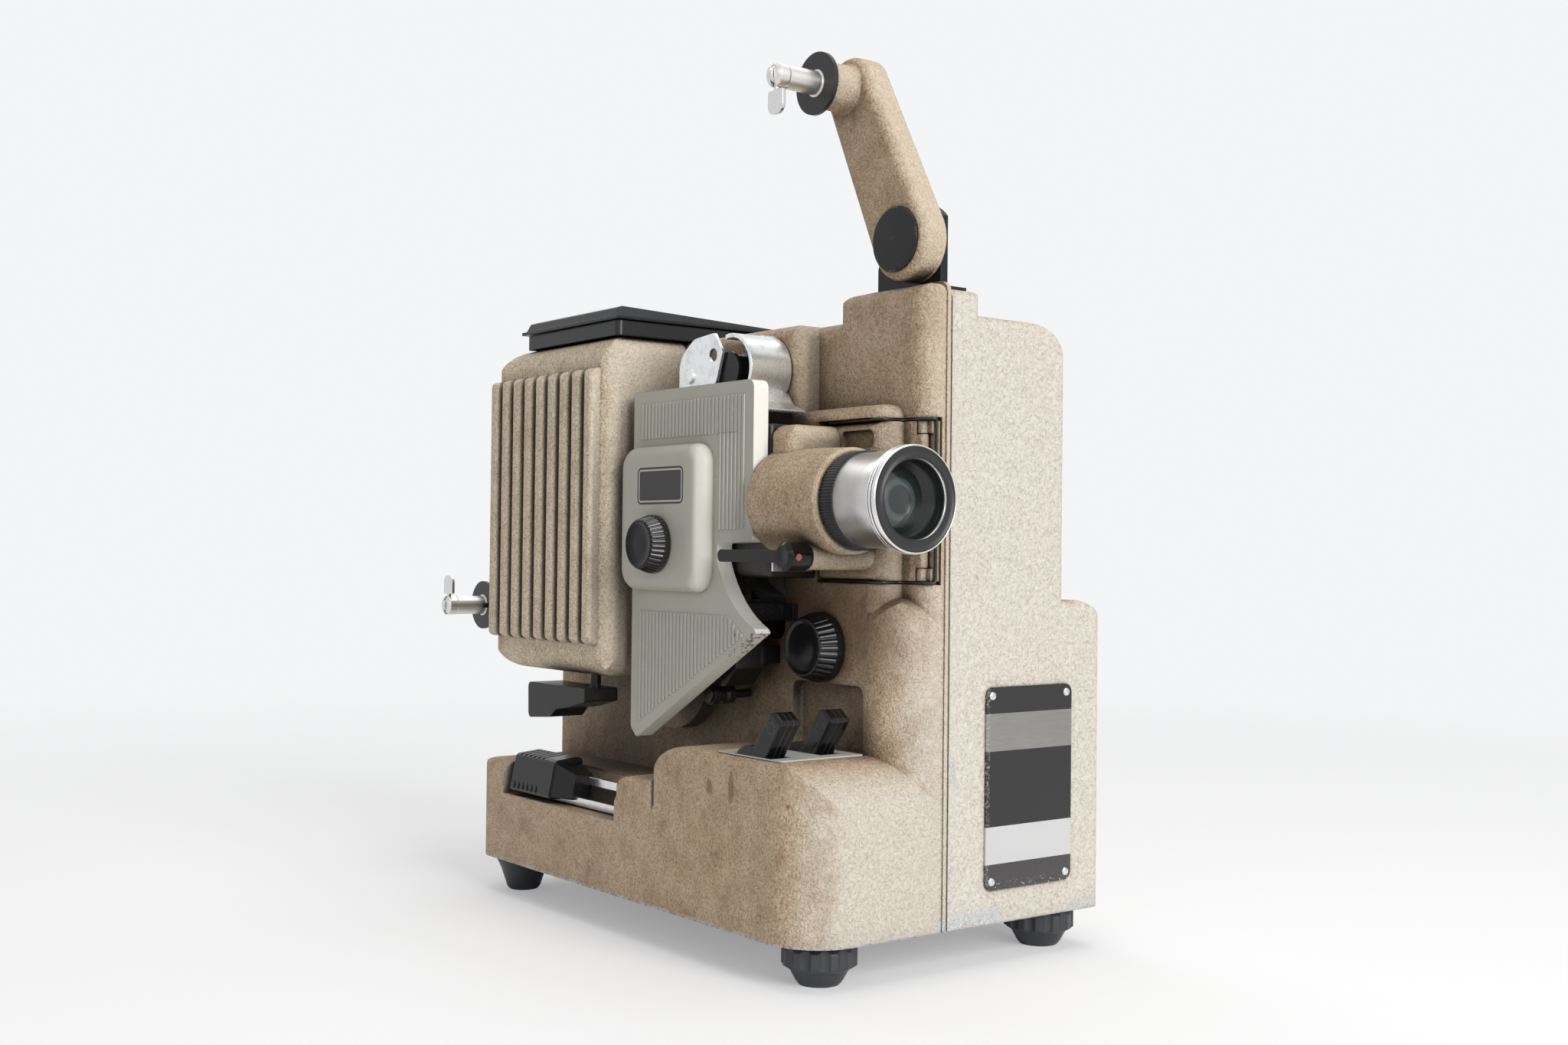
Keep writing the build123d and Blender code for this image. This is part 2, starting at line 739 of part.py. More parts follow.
def lens_carrier():
    z = (carrier_bottom, carrier_top)
    face = -wall_reach
    skin = prism_z([(carrier_back, carrier_hinge_y + 1.0), (carrier_back, carrier_rear), (-front_reach, carrier_rear),
                    (-front_reach, front_round), (carrier_hinge_x - 1.9, carrier_hinge_y - 0.5),
                    (carrier_hinge_x, carrier_hinge_y - 0.2)], 0, z)
    raised = moulded((face, carrier_back), (front_band_depth, carrier_rear), z,
                     plan=(front_round, 0, 0, 0.8), front=(2.5, 0, 0, 4))
    block = moulded((-gate_reach - 0.8, carrier_back - 5), (33.0, carrier_rear), (axis_z - 16, carrier_top - 0.8),
                    plan=(5, 0, 0, 1), side=(4, 0, 0, 5), front=(8, 0, 0, 6))
    body = skin + raised + block
    body -= moulded((face + 2.5, carrier_back + 1), (front_band_depth + 6, carrier_rear - 2.5),
                    (z[0] + 2.5, z[1] - 2.5), plan=(3, 0, 0, 0))
    body -= moulded((face - 1, face + 1.6), (17.0, 32.0), (155.5, 161.5), side=(1.5, 1.5, 1.5, 1.5))
    body += turned_y(axis_x, axis_z, [(lens_tube_radius - 1, carrier_boss_front), (carrier_boss_radius - 1, carrier_boss_front),
                                      (carrier_boss_radius, carrier_boss_front + 1.2),
                                      (carrier_boss_radius + 0.8, carrier_rear), (lens_tube_radius - 1, carrier_rear)])
    sleeve = rod_x(gate_lever_y, gate_lever_z, 4.2, (gate_lever_inner + 0.6, face + 1))
    body += sleeve
    body -= rod_y(axis_x, axis_z, lens_tube_radius + running, (0, lens_tube_end() + 1))
    body -= rod_y(axis_x, axis_z, gate_light_radius, (0, carrier_rear + 1))
    body -= rod_x(gate_lever_y, gate_lever_z, gate_stem_radius + running, (-60, 0))
    ends = hinge_knuckle_length + slip
    trim = hinge_knuckle_radius + slip
    for low, high in ((z[0] - 1, z[0] + ends), (z[1] - ends, z[1] + 1)):
        body -= rod_z(carrier_hinge_x, carrier_hinge_y, trim, (low, high))
        body -= boxed((carrier_hinge_x - trim, 0), (carrier_hinge_y - trim, carrier_hinge_y), (low, high))
    body += rod_z(carrier_hinge_x, carrier_hinge_y, hinge_knuckle_radius, (z[0] + ends, z[1] - ends))
    body -= rod_z(carrier_hinge_x, carrier_hinge_y, hinge_pin_radius + running, (z[0] - 1, z[1] + 1))
    body -= pressure_plate_form(0)
    return body


def lens_tube_end():
    """Rear end of the lens tube with the lens pushed home."""
    return lens_front + front_ring_length + barrel_length + lens_tube_length


def carrier_hinge():
    z = (carrier_bottom, carrier_top)
    x = carrier_hinge_x
    y = carrier_hinge_y
    leaf = boxed((x + 0.9, x + hinge_knuckle_radius + 1.3), (1.2, y - hinge_knuckle_radius - slip), z)
    hinge = leaf + rod_z(x, y, hinge_pin_radius, z)
    for low, high in ((z[0], z[0] + hinge_knuckle_length), (z[1] - hinge_knuckle_length, z[1])):
        hinge += rod_z(x, y, hinge_knuckle_radius, (low, high))
        hinge += boxed((x, x + hinge_knuckle_radius + 1.3), (1.6, y), (low, high))
    return hinge


def pressure_plate_form(grow):
    return boxed((axis_x - 5 - grow, axis_x + 5 + grow), (carrier_rear - 1.2, carrier_rear + 0.3), (120.0, 156.0))


def pressure_plate():
    return pressure_plate_form(0) - boxed((axis_x - aperture_width / 2, axis_x + aperture_width / 2),
                                          (carrier_rear - 5, carrier_rear + 5),
                                          (axis_z - aperture_height / 2, axis_z + aperture_height / 2))


def lens_barrel():
    ring_end = lens_front + front_ring_length
    barrel_end = ring_end + barrel_length
    shoulder = 0.5
    points = [(lens_bore_radius, lens_front + 2.6), (lens_mouth_radius, lens_front + 0.2),
              (front_ring_radius - 0.5, lens_front), (front_ring_radius, lens_front + 0.5),
              (front_ring_radius, lens_front + 1.4), (front_ring_radius - 0.5, lens_front + 1.6),
              (front_ring_radius - 0.5, lens_front + 2.0), (front_ring_radius, lens_front + 2.2),
              (front_ring_radius, lens_front + 3.0), (front_ring_radius - 0.5, lens_front + 3.2),
              (front_ring_radius - 0.5, lens_front + 3.6), (front_ring_radius - 0.2, lens_front + 3.8),
              (barrel_radius + shoulder, ring_end), (barrel_radius, ring_end + shoulder),
              (barrel_radius, barrel_end), (lens_tube_radius, barrel_end),
              (lens_tube_radius, lens_tube_end()), (lens_bore_radius - 1.5, lens_tube_end()),
              (lens_bore_radius - 1.5, lens_front + glass_depth + 4), (lens_bore_radius, lens_front + glass_depth + 4)]
    return turned_y(axis_x, axis_z, points)


def lens_front_glass():
    y = lens_front + glass_depth
    r = lens_bore_radius
    dome = turned_y(axis_x, axis_z, [(0, y - 1.6), (r * 0.5, y - 1.2), (r * 0.8, y - 0.5), (r, y + 0.4),
                                     (r, y + 3.9), (0, y + 3.9)])
    return dome


def lens_rear_glass():
    y = lens_tube_end() - 5
    r = lens_bore_radius - 1.5
    return turned_y(axis_x, axis_z, [(0, y), (r, y), (r, y + 3), (r * 0.6, y + 3.8), (0, y + 4.2)])


def zoom_ring():
    start = lens_front + front_ring_length + barrel_length
    ring = turned_y(axis_x, axis_z, [(lens_tube_radius + running, start + 0.1), (zoom_ring_radius - 0.4, start + 0.1),
                                     (zoom_ring_radius, start + 0.6), (zoom_ring_radius, start + zoom_ring_length - 0.6),
                                     (zoom_ring_radius - 0.5, start + zoom_ring_length - 0.1),
                                     (lens_tube_radius + running, start + zoom_ring_length - 0.1)])
    middle = Pos(axis_x, start + zoom_ring_length / 2, axis_z)
    flute = Pos(0, 0, zoom_ring_radius + 0.1) * Rot(0, 45, 0) * Box(0.8, zoom_ring_length + 1, 0.8)
    return ring - [middle * Rot(0, 360 / zoom_ring_flutes * index, 0) * flute for index in range(zoom_ring_flutes)]


def gate_lever():
    y = gate_lever_y
    z = gate_lever_z
    r = gate_lever_hub_radius
    hub = turned_x(y, z, [(gate_lever_inner, 0), (gate_lever_inner, r - 0.5), (gate_lever_inner - 0.5, r),
                          (gate_lever_outer + 1.2, r), (gate_lever_outer, r - 1.2), (gate_lever_outer + 0.4, 0)])
    half = gate_lever_thickness / 2
    arm = prism_x(corners((y, gate_lever_tip), (z - half, z + half)), (0, half - 0.2, half - 0.2, 0),
                  (gate_lever_outer + 0.8, gate_lever_outer + 5.0))
    stem = rod_x(y, z, gate_stem_radius, (gate_lever_inner - 1, carrier_back - 6))
    return hub + arm + stem


def gate_housing():
    x = (-gate_reach, -wall_reach)
    body = moulded(x, (gate_face + 1.0, gate_rear), (carrier_bottom + 0.2, carrier_top - 0.2),
                   plan=(1.5, 0, 0, 5), side=(1, 8, 6, 1), front=(2, 0, 0, 2))
    body -= rod_y(axis_x, axis_z, gate_light_radius, (gate_face, gate_rear + 1))
    body -= shutter_slot((-gate_reach + 1.6, -wall_reach + 1))
    return body


def aperture_plate():
    plate = boxed((-gate_reach + 1, -wall_reach - 2), (gate_face, gate_face + 1.0), (115.0, 161.0))
    return plate - boxed((axis_x - aperture_width / 2, axis_x + aperture_width / 2), (gate_face - 1, gate_face + 3),
                         (axis_z - aperture_height / 2, axis_z + aperture_height / 2))


# Film door


def door_arc(inset):
    """Hollow lower front edge of the door, from the leg down to the pointed nub."""
    y, z = door_arc_centre
    radius = door_arc_radius + inset
    angles = [door_arc_start - (door_arc_start - door_arc_end) * index / 8 for index in range(9)]
    return [(y + radius * math.cos(angle), z + radius * math.sin(angle)) for angle in angles]


def door_points(inset):
    """Outline of the door in Y and Z: tall rear edge, front leg above, pointed lower half."""
    return ([(door_rear - inset, door_top - inset), (door_front + inset, door_top - inset),
             (door_front + inset, 124.6 + inset), (65.2 + inset, 124.2 + inset)] + door_arc(inset)
            + [(42.9 + 1.4 * inset, 94.8 - 0.2 * inset), (114.6 - 0.3 * inset, 54.4 + 1.3 * inset),
               (door_rear - inset, 58.0 + inset)])


def door_radii(top, front, leg, rear):
    return (top, front, leg, 0.8) + (0,) * 9 + (0, rear, rear)


def film_door():
    inner = door_outer + door_thickness
    door = prism_x(door_points(0), door_radii(1.0, 3.0, 2.5, 2.0), (door_outer, inner))
    door -= prism_x(door_points(door_skin), door_radii(0.8, 2.0, 1.5, 1.0), (door_outer + door_skin, inner + 1))
    panels = prism_x(door_points(4.6), door_radii(0.5, 1.0, 0.5, 0.5), (door_outer - 2, door_outer + 1))
    box_zone = boxed((door_outer - 5, door_outer + 5), (door_box_front - 3.5, door_rear + 5),
                     (door_box_bottom - 8, door_box_top + 3.5))
    panels -= box_zone
    count = int((door_rear - door_front) / door_rib_pitch)
    middles = [door_front + door_rib_pitch * (index + 0.5) for index in range(count)]
    for y in middles:
        door += panels & boxed((door_outer - door_rib_height, door_outer + 0.5), (y - 0.55, y + 0.55), (50.0, 180.0))
    for y, z in door_pins:
        door += rod_x(y, z, door_pin_radius + 1.5, (door_outer + door_skin - 0.5, inner))
        door += rod_x(y, z, door_pin_radius, (door_outer + door_skin - 0.5, door_pin_end))
    door -= rod_x(door_knob_y, door_knob_z, 3.0 + running, (door_outer - 9, inner + 1))
    door -= rod_x(54.6, 93.9, 0.6, (door_outer - 1, inner))
    return door


def door_box():
    """Raised box over the middle of the door, with softly rounded edges."""
    x = (door_outer - door_box_proud, door_outer)
    y = (door_box_front, door_rear + 0.2)
    z = (door_box_bottom, door_box_top)
    box = moulded(x, y, z, plan=(4.5, 0, 0, 3.5), side=(5, 4, 4, 6), front=(4, 0, 0, 4))
    box -= boxed((x[0] + 2.2, x[1] + 1), (y[0] + 3, y[1] - 3), (z[0] + 3, z[1] - 3))
    box += rod_x(door_knob_y, door_knob_z, 5.5, (x[0] + 1, x[1]))
    return box - rod_x(door_knob_y, door_knob_z, 3.0 + running, (x[0] - 1, x[1] + 1))


def framing_knob():
    seat = door_outer - door_box_proud - slip
    knob = fluted_knob_x(door_knob_y, door_knob_z, seat, door_knob_height, door_knob_radius, 30, 2.4)
    return knob + rod_x(door_knob_y, door_knob_z, 3.0, (seat - 1, door_outer + door_thickness - 1))


def inching_knob():
    seat = -wall_reach - slip
    knob = fluted_knob_x(inching_y, inching_z, seat, inching_height, inching_radius, 36, 1.8)
    return knob + rod_x(inching_y, inching_z, sprocket_shaft_radius, (seat - 1, -3.0))


# Switch levers, slide and rails


def switch_lever(x):
    half = lever_thickness / 2
    hub = rod_x(lever_y, lever_z, lever_hub_radius, (x - half, x + half))
    hub &= boxed((x - half, x + half), (lever_y - 20, lever_y + 20), (lever_z - lever_hub_radius, lever_z + 20))
    width = lever_paddle_width / 2
    paddle = moulded((x - half, x + half), (-width, width), (0, lever_paddle_length),
                     plan=(0.8, 0.8, 0.8, 0.8), side=(0, 0, 3.6, 1.6), front=(0, 0, 1.5, 1.5))
    lever = hub + Pos(0, lever_y, lever_z) * Rot(lever_lean, 0, 0) * paddle
    return lever - rod_x(lever_y, lever_z, 2.0 + running, (x - half - 1, x + half + 1))


def lever_shaft():
    half = lever_thickness / 2
    x = (lever_x[0] - half - 0.5, lever_x[1] + half + 6.0)
    shaft = rod_x(lever_y, lever_z, 2.0, x)
    middle = (lever_x[0] + half + slip, lever_x[1] - half - slip)
    post = boxed(middle, (lever_y - 3, lever_y + 3), (lever_z - 3, hump_height - casting_wall))
    return shaft + post


def lever_plate():
    plate = moulded((lever_x[0] - 4.2 - slip, lever_x[1] + 9.0), (17.5, 52.0), (hump_height, hump_height + 0.5),
                    plan=(1, 1, 1, 1))
    for x in lever_x:
        half = lever_thickness / 2 + slip
        plate -= boxed((x - half, x + half), (lever_y - lever_hub_radius - 3, lever_y + lever_hub_radius + 1),
                       (hump_height - 1, hump_height + 2))
    return plate


def speed_slider():
    """Ribbed grip with a sloping nose, running on both rails."""
    low = slot_floor + 1.4
    outer = -base_reach
    inner = slider_inner
    points = [(outer, low), (outer + 9, low), (inner, 33.0), (inner, 42.0), (inner - 2, 43.0), (outer + 3, 42.0)]
    block = prism_y(points, (1.5, 0.5, 0.5, 1.5, 1.5, 2.0), (slider_front, slider_rear))
    for index in range(6):
        y = slider_front + 9.0 + 3.4 * index
        block -= boxed((outer - 1, outer + 1.0), (y, y + 1.4), (slot_floor + 3, 42.5))
        block -= boxed((outer - 1, inner + 2), (y, y + 1.4), (41.6, 44.0))
    wide = outline([(outer + 1, 28.4), (inner - 4.5, 28.4), (inner - 1, 33.5), (inner - 1, 41.0), (outer + 3.5, 41.0)], 0.5)
    narrow = outline([(outer + 4.4, 28.4), (inner - 4.5, 28.4), (inner - 1.4, 33.5), (inner - 1.4, 37.6),
                      (outer + 6.4, 37.6)], 0.5)
    nose = loft([Plane.XZ.offset(-slider_front) * wide, Plane.XZ.offset(-slider_front + slider_nose) * narrow])
    slider = block + nose
    for rail in (rail_upper, rail_lower):
        slider -= rail_form(rail, running)
    return slider


def rail_form(place, grow):
    """Flat bar along the slot."""
    x, z = place
    half_thickness = rail_thickness / 2 + grow
    half_height = rail_height / 2 + grow
    return boxed((x - half_thickness, x + half_thickness), (slot_front, slot_rear), (z - half_height, z + half_height))


def slide_rails():
    return [rail_form(rail, 0) for rail in (rail_upper, rail_lower)]


# Upper and lower film path


def sprocket(y, z):
    """Toothed film sprocket on its shaft through the wall."""
    x = (axis_x - sprocket_width / 2, axis_x + sprocket_width / 2)
    r = sprocket_radius
    wheel = turned_x(y, z, [(x[0], 0), (x[0], r), (x[0] + 1.4, r), (x[0] + 1.8, r - 0.8), (x[1] - 1.8, r - 0.8),
                            (x[1] - 1.4, r), (x[1], r), (x[1], 0)])
    for index in range(12):
        wheel += Pos(0, y, z) * Rot(30 * index, 0, 0) * Pos(x[1] - 0.7, 0, r + 0.2) * Box(0.8, 0.9, 0.9)
    return wheel + rod_x(y, z, sprocket_shaft_radius, (x[0], -3.0))


def upper_shoe():
    """Curved film shoe over the upper sprocket with its flared lip."""
    y = upper_sprocket_y - 2
    z = upper_sprocket_z
    x = (-35.8, -wall_reach - slip)
    ring = rod_x(y, z, shoe_radius, x) - rod_x(y, z, shoe_radius - shoe_skin, (x[0] - 1, x[1] + 1))
    ring &= boxed(x, (y - 20, y + 3), (z - 8, z + 20))
    lip = prism_x([(y - 10.8, z - 8.0), (y - 9.4, z - 8.0), (y - 12.5, z - 13.2), (y - 20.0, z - 15.6),
                   (y - 21.0, z - 14.6), (y - 14.0, z - 12.0)], (0, 0, 4, 0.4, 0.4, 4), x)
    mount = boxed((-24.0, -wall_reach), (y - 3, y + 3), (z + shoe_radius - shoe_skin, z + shoe_radius))
    return ring + lip + mount


def upper_cheek():
    """Outer cheek plate of the upper loop, a quarter disc on a pin."""
    plate = prism_x([(79.5, 197.2), (74.6, 190.4), (78.0, 180.6), (84.0, 172.0), (101.0, 172.0), (101.0, 190.0),
                     (92.0, 196.0)], (1, 2, 2, 1, 8, 9, 6), (-37.4, -36.2))
    plate -= rod_x(80.2, 189.5, 2.4, (-40, -30))
    return plate + rod_x(94.1, 183.1, 1.8, (-36.5, -wall_reach)) + rod_x(94.1, 183.1, 2.6, (-38.2, -37.2))


def lower_guide():
    """Black film guide below the gate: roller bracket and curved shoe."""
    block = moulded((-36.0, -wall_reach), (61.0, 75.0), (97.7, 104.3), side=(2.5, 2.5, 1, 1), front=(1, 0, 0, 1))
    tab = boxed((-wall_reach - 2.0, -wall_reach), (55.0, 70.0), (98.2, 103.8))
    return block + tab


def lower_guard():
    """Eight sided metal guard round the lower sprocket."""
    y = lower_sprocket_y
    z = lower_sprocket_z
    ring = [(y + 11.5 * math.cos(math.radians(22.5 + 45 * i)), z + 11.5 * math.sin(math.radians(22.5 + 45 * i)))
            for i in range(8)]
    guard = prism_x(ring, 1.0, (-36.8, -25.0))
    guard -= rod_x(y, z, sprocket_radius + 2.2, (-40, -20))
    guard -= boxed((-40, -20), (y - 2, y + 20), (z - 20, z + 20))
    return guard + boxed((-26.0, -wall_reach), (y - 11.4, y - 8.9), (z - 3, z + 3))


def lower_roller():
    """Small black roller beside the lower sprocket."""
    return turned_x(82.5, 71.5, [(-35.5, 1.5 + running), (-35.5, 3.4), (-33.0, 3.4), (-32.4, 2.6), (-29.6, 2.6),
                                 (-29.0, 3.4), (-26.5, 3.4), (-26.5, 1.5 + running)])


def lower_roller_pin():
    return rod_x(82.5, 71.5, 1.5, (-36.4, -wall_reach)) + rod_x(82.5, 71.5, 2.6, (-36.4, -35.5 - slip))


def lamp_lever():
    """Black grip under the lamp house that shifts the lamp."""
    y = lamp_lever_y
    grip = prism_x([(y + 33.0, 71.0), (y + 32.6, 57.4), (y + 16.0, 58.8), (y + 12.0, 62.0), (y + 3.0, 63.4),
                    (y - 9.0, 66.2), (y - 9.0, 71.0)], (2, 2, 1.5, 1, 1, 1, 1), (-rib_reach, -rib_reach + 14.0))
    return grip + rod_z(lamp_lever_x, lamp_lever_y, lamp_lever_pin, (70.0, lamp_bottom + lamp_wall + 2))


# Reel arms


def reel_arm(length):
    """Flat arm from its pivot, at the origin, to its spindle, straight up; rounded outer edges."""
    x = (-arm_thickness, 0)
    low = rod_x(0, 0, arm_pivot_radius, x)
    high = rod_x(0, length, arm_tip_radius, x)
    gap = arm_pivot_radius - arm_tip_radius
    lean = math.asin(gap / length)
    c = math.cos(lean)
    s = math.sin(lean)
    web = prism_x([(-arm_pivot_radius * c, arm_pivot_radius * s), (arm_pivot_radius * c, arm_pivot_radius * s),
                   (arm_tip_radius * c, length + arm_tip_radius * s),
                   (-arm_tip_radius * c, length + arm_tip_radius * s)], 0, x)
    arm = low + high + web
    rim = arm.edges().group_by(Axis.X)[0]
    arm = fillet(rim, arm_edge_round)
    boss = turned_x(0, length, [(0.5 - arm_thickness, 0), (0.5 - arm_thickness, arm_boss_radius + 1),
                                (-arm_thickness - 0.8, arm_boss_radius),
                                (-arm_thickness - arm_boss_length, arm_boss_radius - 0.4),
                                (-arm_thickness - arm_boss_length, 0)])
    arm += boss
    arm -= rod_x(0, 0, pivot_pin_radius + running, (-arm_thickness - 1, 1))
    arm -= rod_x(0, length, spindle_radius - 1 + running, (-40, 1))
    return arm


def pivot_disc():
    """Black disc over the pivot, pressed on the end of the pivot pin."""
    x = -arm_thickness
    return turned_x(0, 0, [(x - 0.3, 0), (x - 0.3, pivot_disc_radius), (x - 0.9, pivot_disc_radius),
                           (x - 1.4, pivot_disc_radius - 0.6), (x - 1.6, 0)])


def pivot_pin():
    """Pin on the bracket that the arm turns on."""
    return rod_x(0, 0, pivot_pin_radius, (-arm_thickness - 0.3, 0.5))


def reel_spindle(length):
    """Flange, shaft and tip of the reel spindle, with its journal in the arm."""
    x = -arm_thickness - arm_boss_length - slip
    tip = spindle_tip_end
    end = spindle_shaft_end
    spindle = turned_x(0, length, [(-1.0, 0), (-1.0, spindle_radius - 1), (x, spindle_radius - 1),
                                   (x, spindle_flange_radius), (x - spindle_flange_thickness, spindle_flange_radius),
                                   (x - spindle_flange_thickness, spindle_radius), (end, spindle_radius),
                                   (end - 0.6, spindle_radius + 0.2), (tip + 1.0, spindle_radius + 0.2),
                                   (tip, spindle_radius - 0.9), (tip, 0)])
    spindle += rod_x(5.6, length, 1.1, (x - spindle_flange_thickness - 3.0, x - 0.5))
    slit = latch_tongue / 2 + slip
    spindle -= boxed((tip - 1, end + 0.8), (-slit, slit), (length - 10, length + 10))
    return spindle + rod_y(tip + latch_inset, length, 0.8, (-spindle_radius, spindle_radius))


def reel_latch(length):
    """Latch pinned in the spindle's forked tip: a tongue with a cross plate, hanging square to the shaft."""
    x = spindle_tip_end + latch_inset
    tongue_radius = 2.8
    clear = math.hypot(latch_inset, spindle_radius + 0.2) + slip
    half = latch_tongue / 2
    tongue = rod_y(x, length, tongue_radius, (-half, half))
    tongue += boxed((x - latch_thickness / 2, x + latch_thickness / 2), (-half, half), (length - clear - 2, length))
    plate = moulded((x - latch_thickness / 2, x + latch_thickness / 2), (-latch_width / 2, latch_width / 2),
                    (length - latch_length, length - clear), side=(3.0, 3.0, 0.8, 0.8))
    return tongue + plate - rod_y(x, length, 0.8 + running, (-10, 10))


def placed(shape, pivot, lean):
    """Arm piece turned rearward by lean degrees about its pivot."""
    return Pos(0, pivot[0], pivot[1]) * Rot(-lean, 0, 0) * shape


def arm_set(pivot, length, lean, flip):
    """Arm, disc, spindle and latch at their places; flip turns the latch end for end."""
    turn = Pos(0, 0, length) * Rot(lean + (180 if flip else 0), 0, 0) * Pos(0, 0, -length)
    return {
        "arm": placed(reel_arm(length), pivot, lean),
        "disc": placed(pivot_disc(), pivot, lean),
        "spindle": placed(turn * reel_spindle(length), pivot, lean),
        "latch": placed(turn * reel_latch(length), pivot, lean),
    }


def feed_bracket():
    """Upright plate on the tower with its foot and the stop lug behind the arm."""
    y, z = feed_pivot
    x = (0.5, 0.5 + bracket_thickness)
    r = arm_pivot_radius - 0.5
    plate = prism_x([(5.4, cover_tower_height), (31.0, cover_tower_height), (30.0, z - 8), (y + r, z), (5.4, z)],
                    (0, 0, 3, 0, 0), x)
    head = rod_x(y, z, r, x) & boxed(x, (5.4, 60), (cover_tower_height, 300))
    foot = boxed((x[0], 12.5), (6.0, 36.0), (cover_tower_height, cover_tower_height + 1.6))
    lug = prism_x(corners((y + r - 4, y + r + 8.5), (cover_tower_height, cover_tower_height + 12.5)), (0, 1, 3, 2), x)
    pin = Pos(0, y, z) * pivot_pin()
    return plate + head + foot + lug + pin


def takeup_bracket():
    """Plate on the rear wall that carries the take-up arm."""
    y, z = takeup_pivot
    x = (0.5, 0.5 + bracket_thickness)
    plate = prism_x([(body_depth, z - 16), (y, z - 12.8), (y, z + 12.8), (body_depth, z + 16)], 0, x)
    head = rod_x(y, z, arm_pivot_radius - 0.5, x)
    foot = boxed((0.5, 14.0), (body_depth, body_depth + 2.0), (z - 22, z + 22))
    pin = Pos(0, y, z) * pivot_pin()
    return plate + head + foot + pin


def arm_strip():
    """Satin strip behind the upper part of the feed arm."""
    strip = prism_x([(-7.0, 26.0), (9.0, 26.0), (8.0, feed_length + 6), (0, feed_length + 10.4), (-6.0, feed_length + 6)],
                    (2, 2, 6, 4, 6), (0, 1.2))
    return placed(strip, feed_pivot, feed_lean)


# Feet


def front_foot(x):
    """Scalloped screw foot with a rubber face."""
    top = -0.7
    head = turned_z(x, front_foot_y, [(0, top), (front_foot_radius - 1.5, top), (front_foot_radius, top - 1.5),
                                      (front_foot_radius, top - 6.5), (front_foot_radius - 2.5, top - 8.0),
                                      (7.5, -floor_drop + 1.2), (6.5, -floor_drop), (0, -floor_drop)])
    scallop = Pos(front_foot_radius + 1.4, 0, top - 4) * Cylinder(2.4, 9)
    head -= [Pos(x, front_foot_y, 0) * Rot(0, 0, 30 * index) * scallop for index in range(12)]
    return head + rod_z(x, front_foot_y, foot_screw_radius, (top - 1, 16.0))


def rear_feet():
    feet = []
    for x in rear_foot_x:
        r = rear_foot_radius
        feet.append(turned_z(x, rear_foot_y, [(0, slip), (r + 1.5, slip), (r + 1.5, -2.0), (r, -5.0),
                                              (r - 2.5, -floor_drop + 1.0), (r - 3.5, -floor_drop),
                                              (0, -floor_drop)]))
    return feet


# Drive


def shutter_bearings():
    """Two bearing blocks on the inside of the wall for the shutter shaft."""
    blocks = []
    for y in (86.0, 112.0):
        block = moulded((-wall_reach + casting_wall, shutter_x + 4.5), (y, y + 6), (axis_z - 6, axis_z + 6),
                        front=(0, 3, 3, 0))
        blocks.append(block - rod_y(shutter_x, axis_z, shutter_shaft_radius + running, (y - 1, y + 7)))
    return blocks


def shutter():
    """Two bladed shutter disc on its shaft with the driven pulley."""
    disc = rod_y(shutter_x, axis_z, shutter_radius, (shutter_y, shutter_y + 1.2))
    hub = 7.0
    for angle in (60.0, 240.0):
        cut = prism_y([(0, 0), (40, -18), (40, 18)], 0, (shutter_y - 1, shutter_y + 3))
        cut -= rod_y(0, 0, hub, (shutter_y - 2, shutter_y + 4))
        disc -= Pos(shutter_x, 0, axis_z) * Rot(0, angle, 0) * cut
    shaft = rod_y(shutter_x, axis_z, shutter_shaft_radius, (shutter_y - 4, 120.0))
    return disc + shaft + grooved_pulley(shutter_x, axis_z, shutter_pulley_radius)


def grooved_pulley(x, z, radius):
    """Pulley with a round belt groove."""
    y = pulley_y - pulley_width / 2
    return turned_y(x, z, [(0, y), (radius, y), (radius, y + 0.8), (radius - belt_radius - slip, y + 1.5),
                           (radius - belt_radius - slip, y + pulley_width - 1.5),
                           (radius, y + pulley_width - 0.8), (radius, y + pulley_width), (0, y + pulley_width)])


def drive_belt():
    """Round belt about both pulleys."""
    big = shutter_pulley_radius
    small = motor_pulley_radius
    dx = motor_x - shutter_x
    dz = motor_z - axis_z
    distance = math.hypot(dx, dz)
    tilt = math.degrees(math.atan2(dz, dx))
    lean = math.acos((big - small) / distance)
    c = math.cos(lean)
    s = math.sin(lean)
    top_big = (big * c, big * s)
    top_small = (distance + small * c, small * s)
    path = (ThreePointArc((big * c, big * s), (-big, 0), (big * c, -big * s))
            + Line((big * c, -big * s), (distance + small * c, -small * s))
            + ThreePointArc((distance + small * c, -small * s), (distance + small, 0), top_small)
            + Line(top_small, top_big))
    start = Plane(origin=(-big, 0, 0), z_dir=(0, 1, 0))
    belt = sweep(start * Circle(belt_radius), path=path)
    return Pos(shutter_x, pulley_y, axis_z) * Rot(0, -tilt, 0) * Rot(90, 0, 0) * belt


def motor():
    """Drive motor with its end bells, feet and lamination stack."""
    y = (motor_front, motor_front + motor_length)
    body = turned_y(motor_x, motor_z, [(0, y[0]), (motor_radius - 6, y[0]), (motor_radius - 3, y[0] + 4),
                                       (motor_radius - 3, y[0] + 14), (motor_radius, y[0] + 14),
                                       (motor_radius, y[1] - 14), (motor_radius - 3, y[1] - 14),
                                       (motor_radius - 3, y[1] - 4), (motor_radius - 6, y[1]), (0, y[1])])
    body -= rod_y(motor_x, motor_z, motor_shaft_radius + running, (y[0] - 1, y[1] + 1))
    floor = slip + bottom_thickness
    cradle = boxed((motor_x - 14, motor_x + 14), (y[0] + 16, y[1] - 16), (floor, motor_z - motor_radius + 2))
    cradle -= boxed((motor_x - 11, motor_x + 11), (y[0] + 10, y[1] - 10), (floor + 3, motor_z - motor_radius - 4))
    return body + cradle


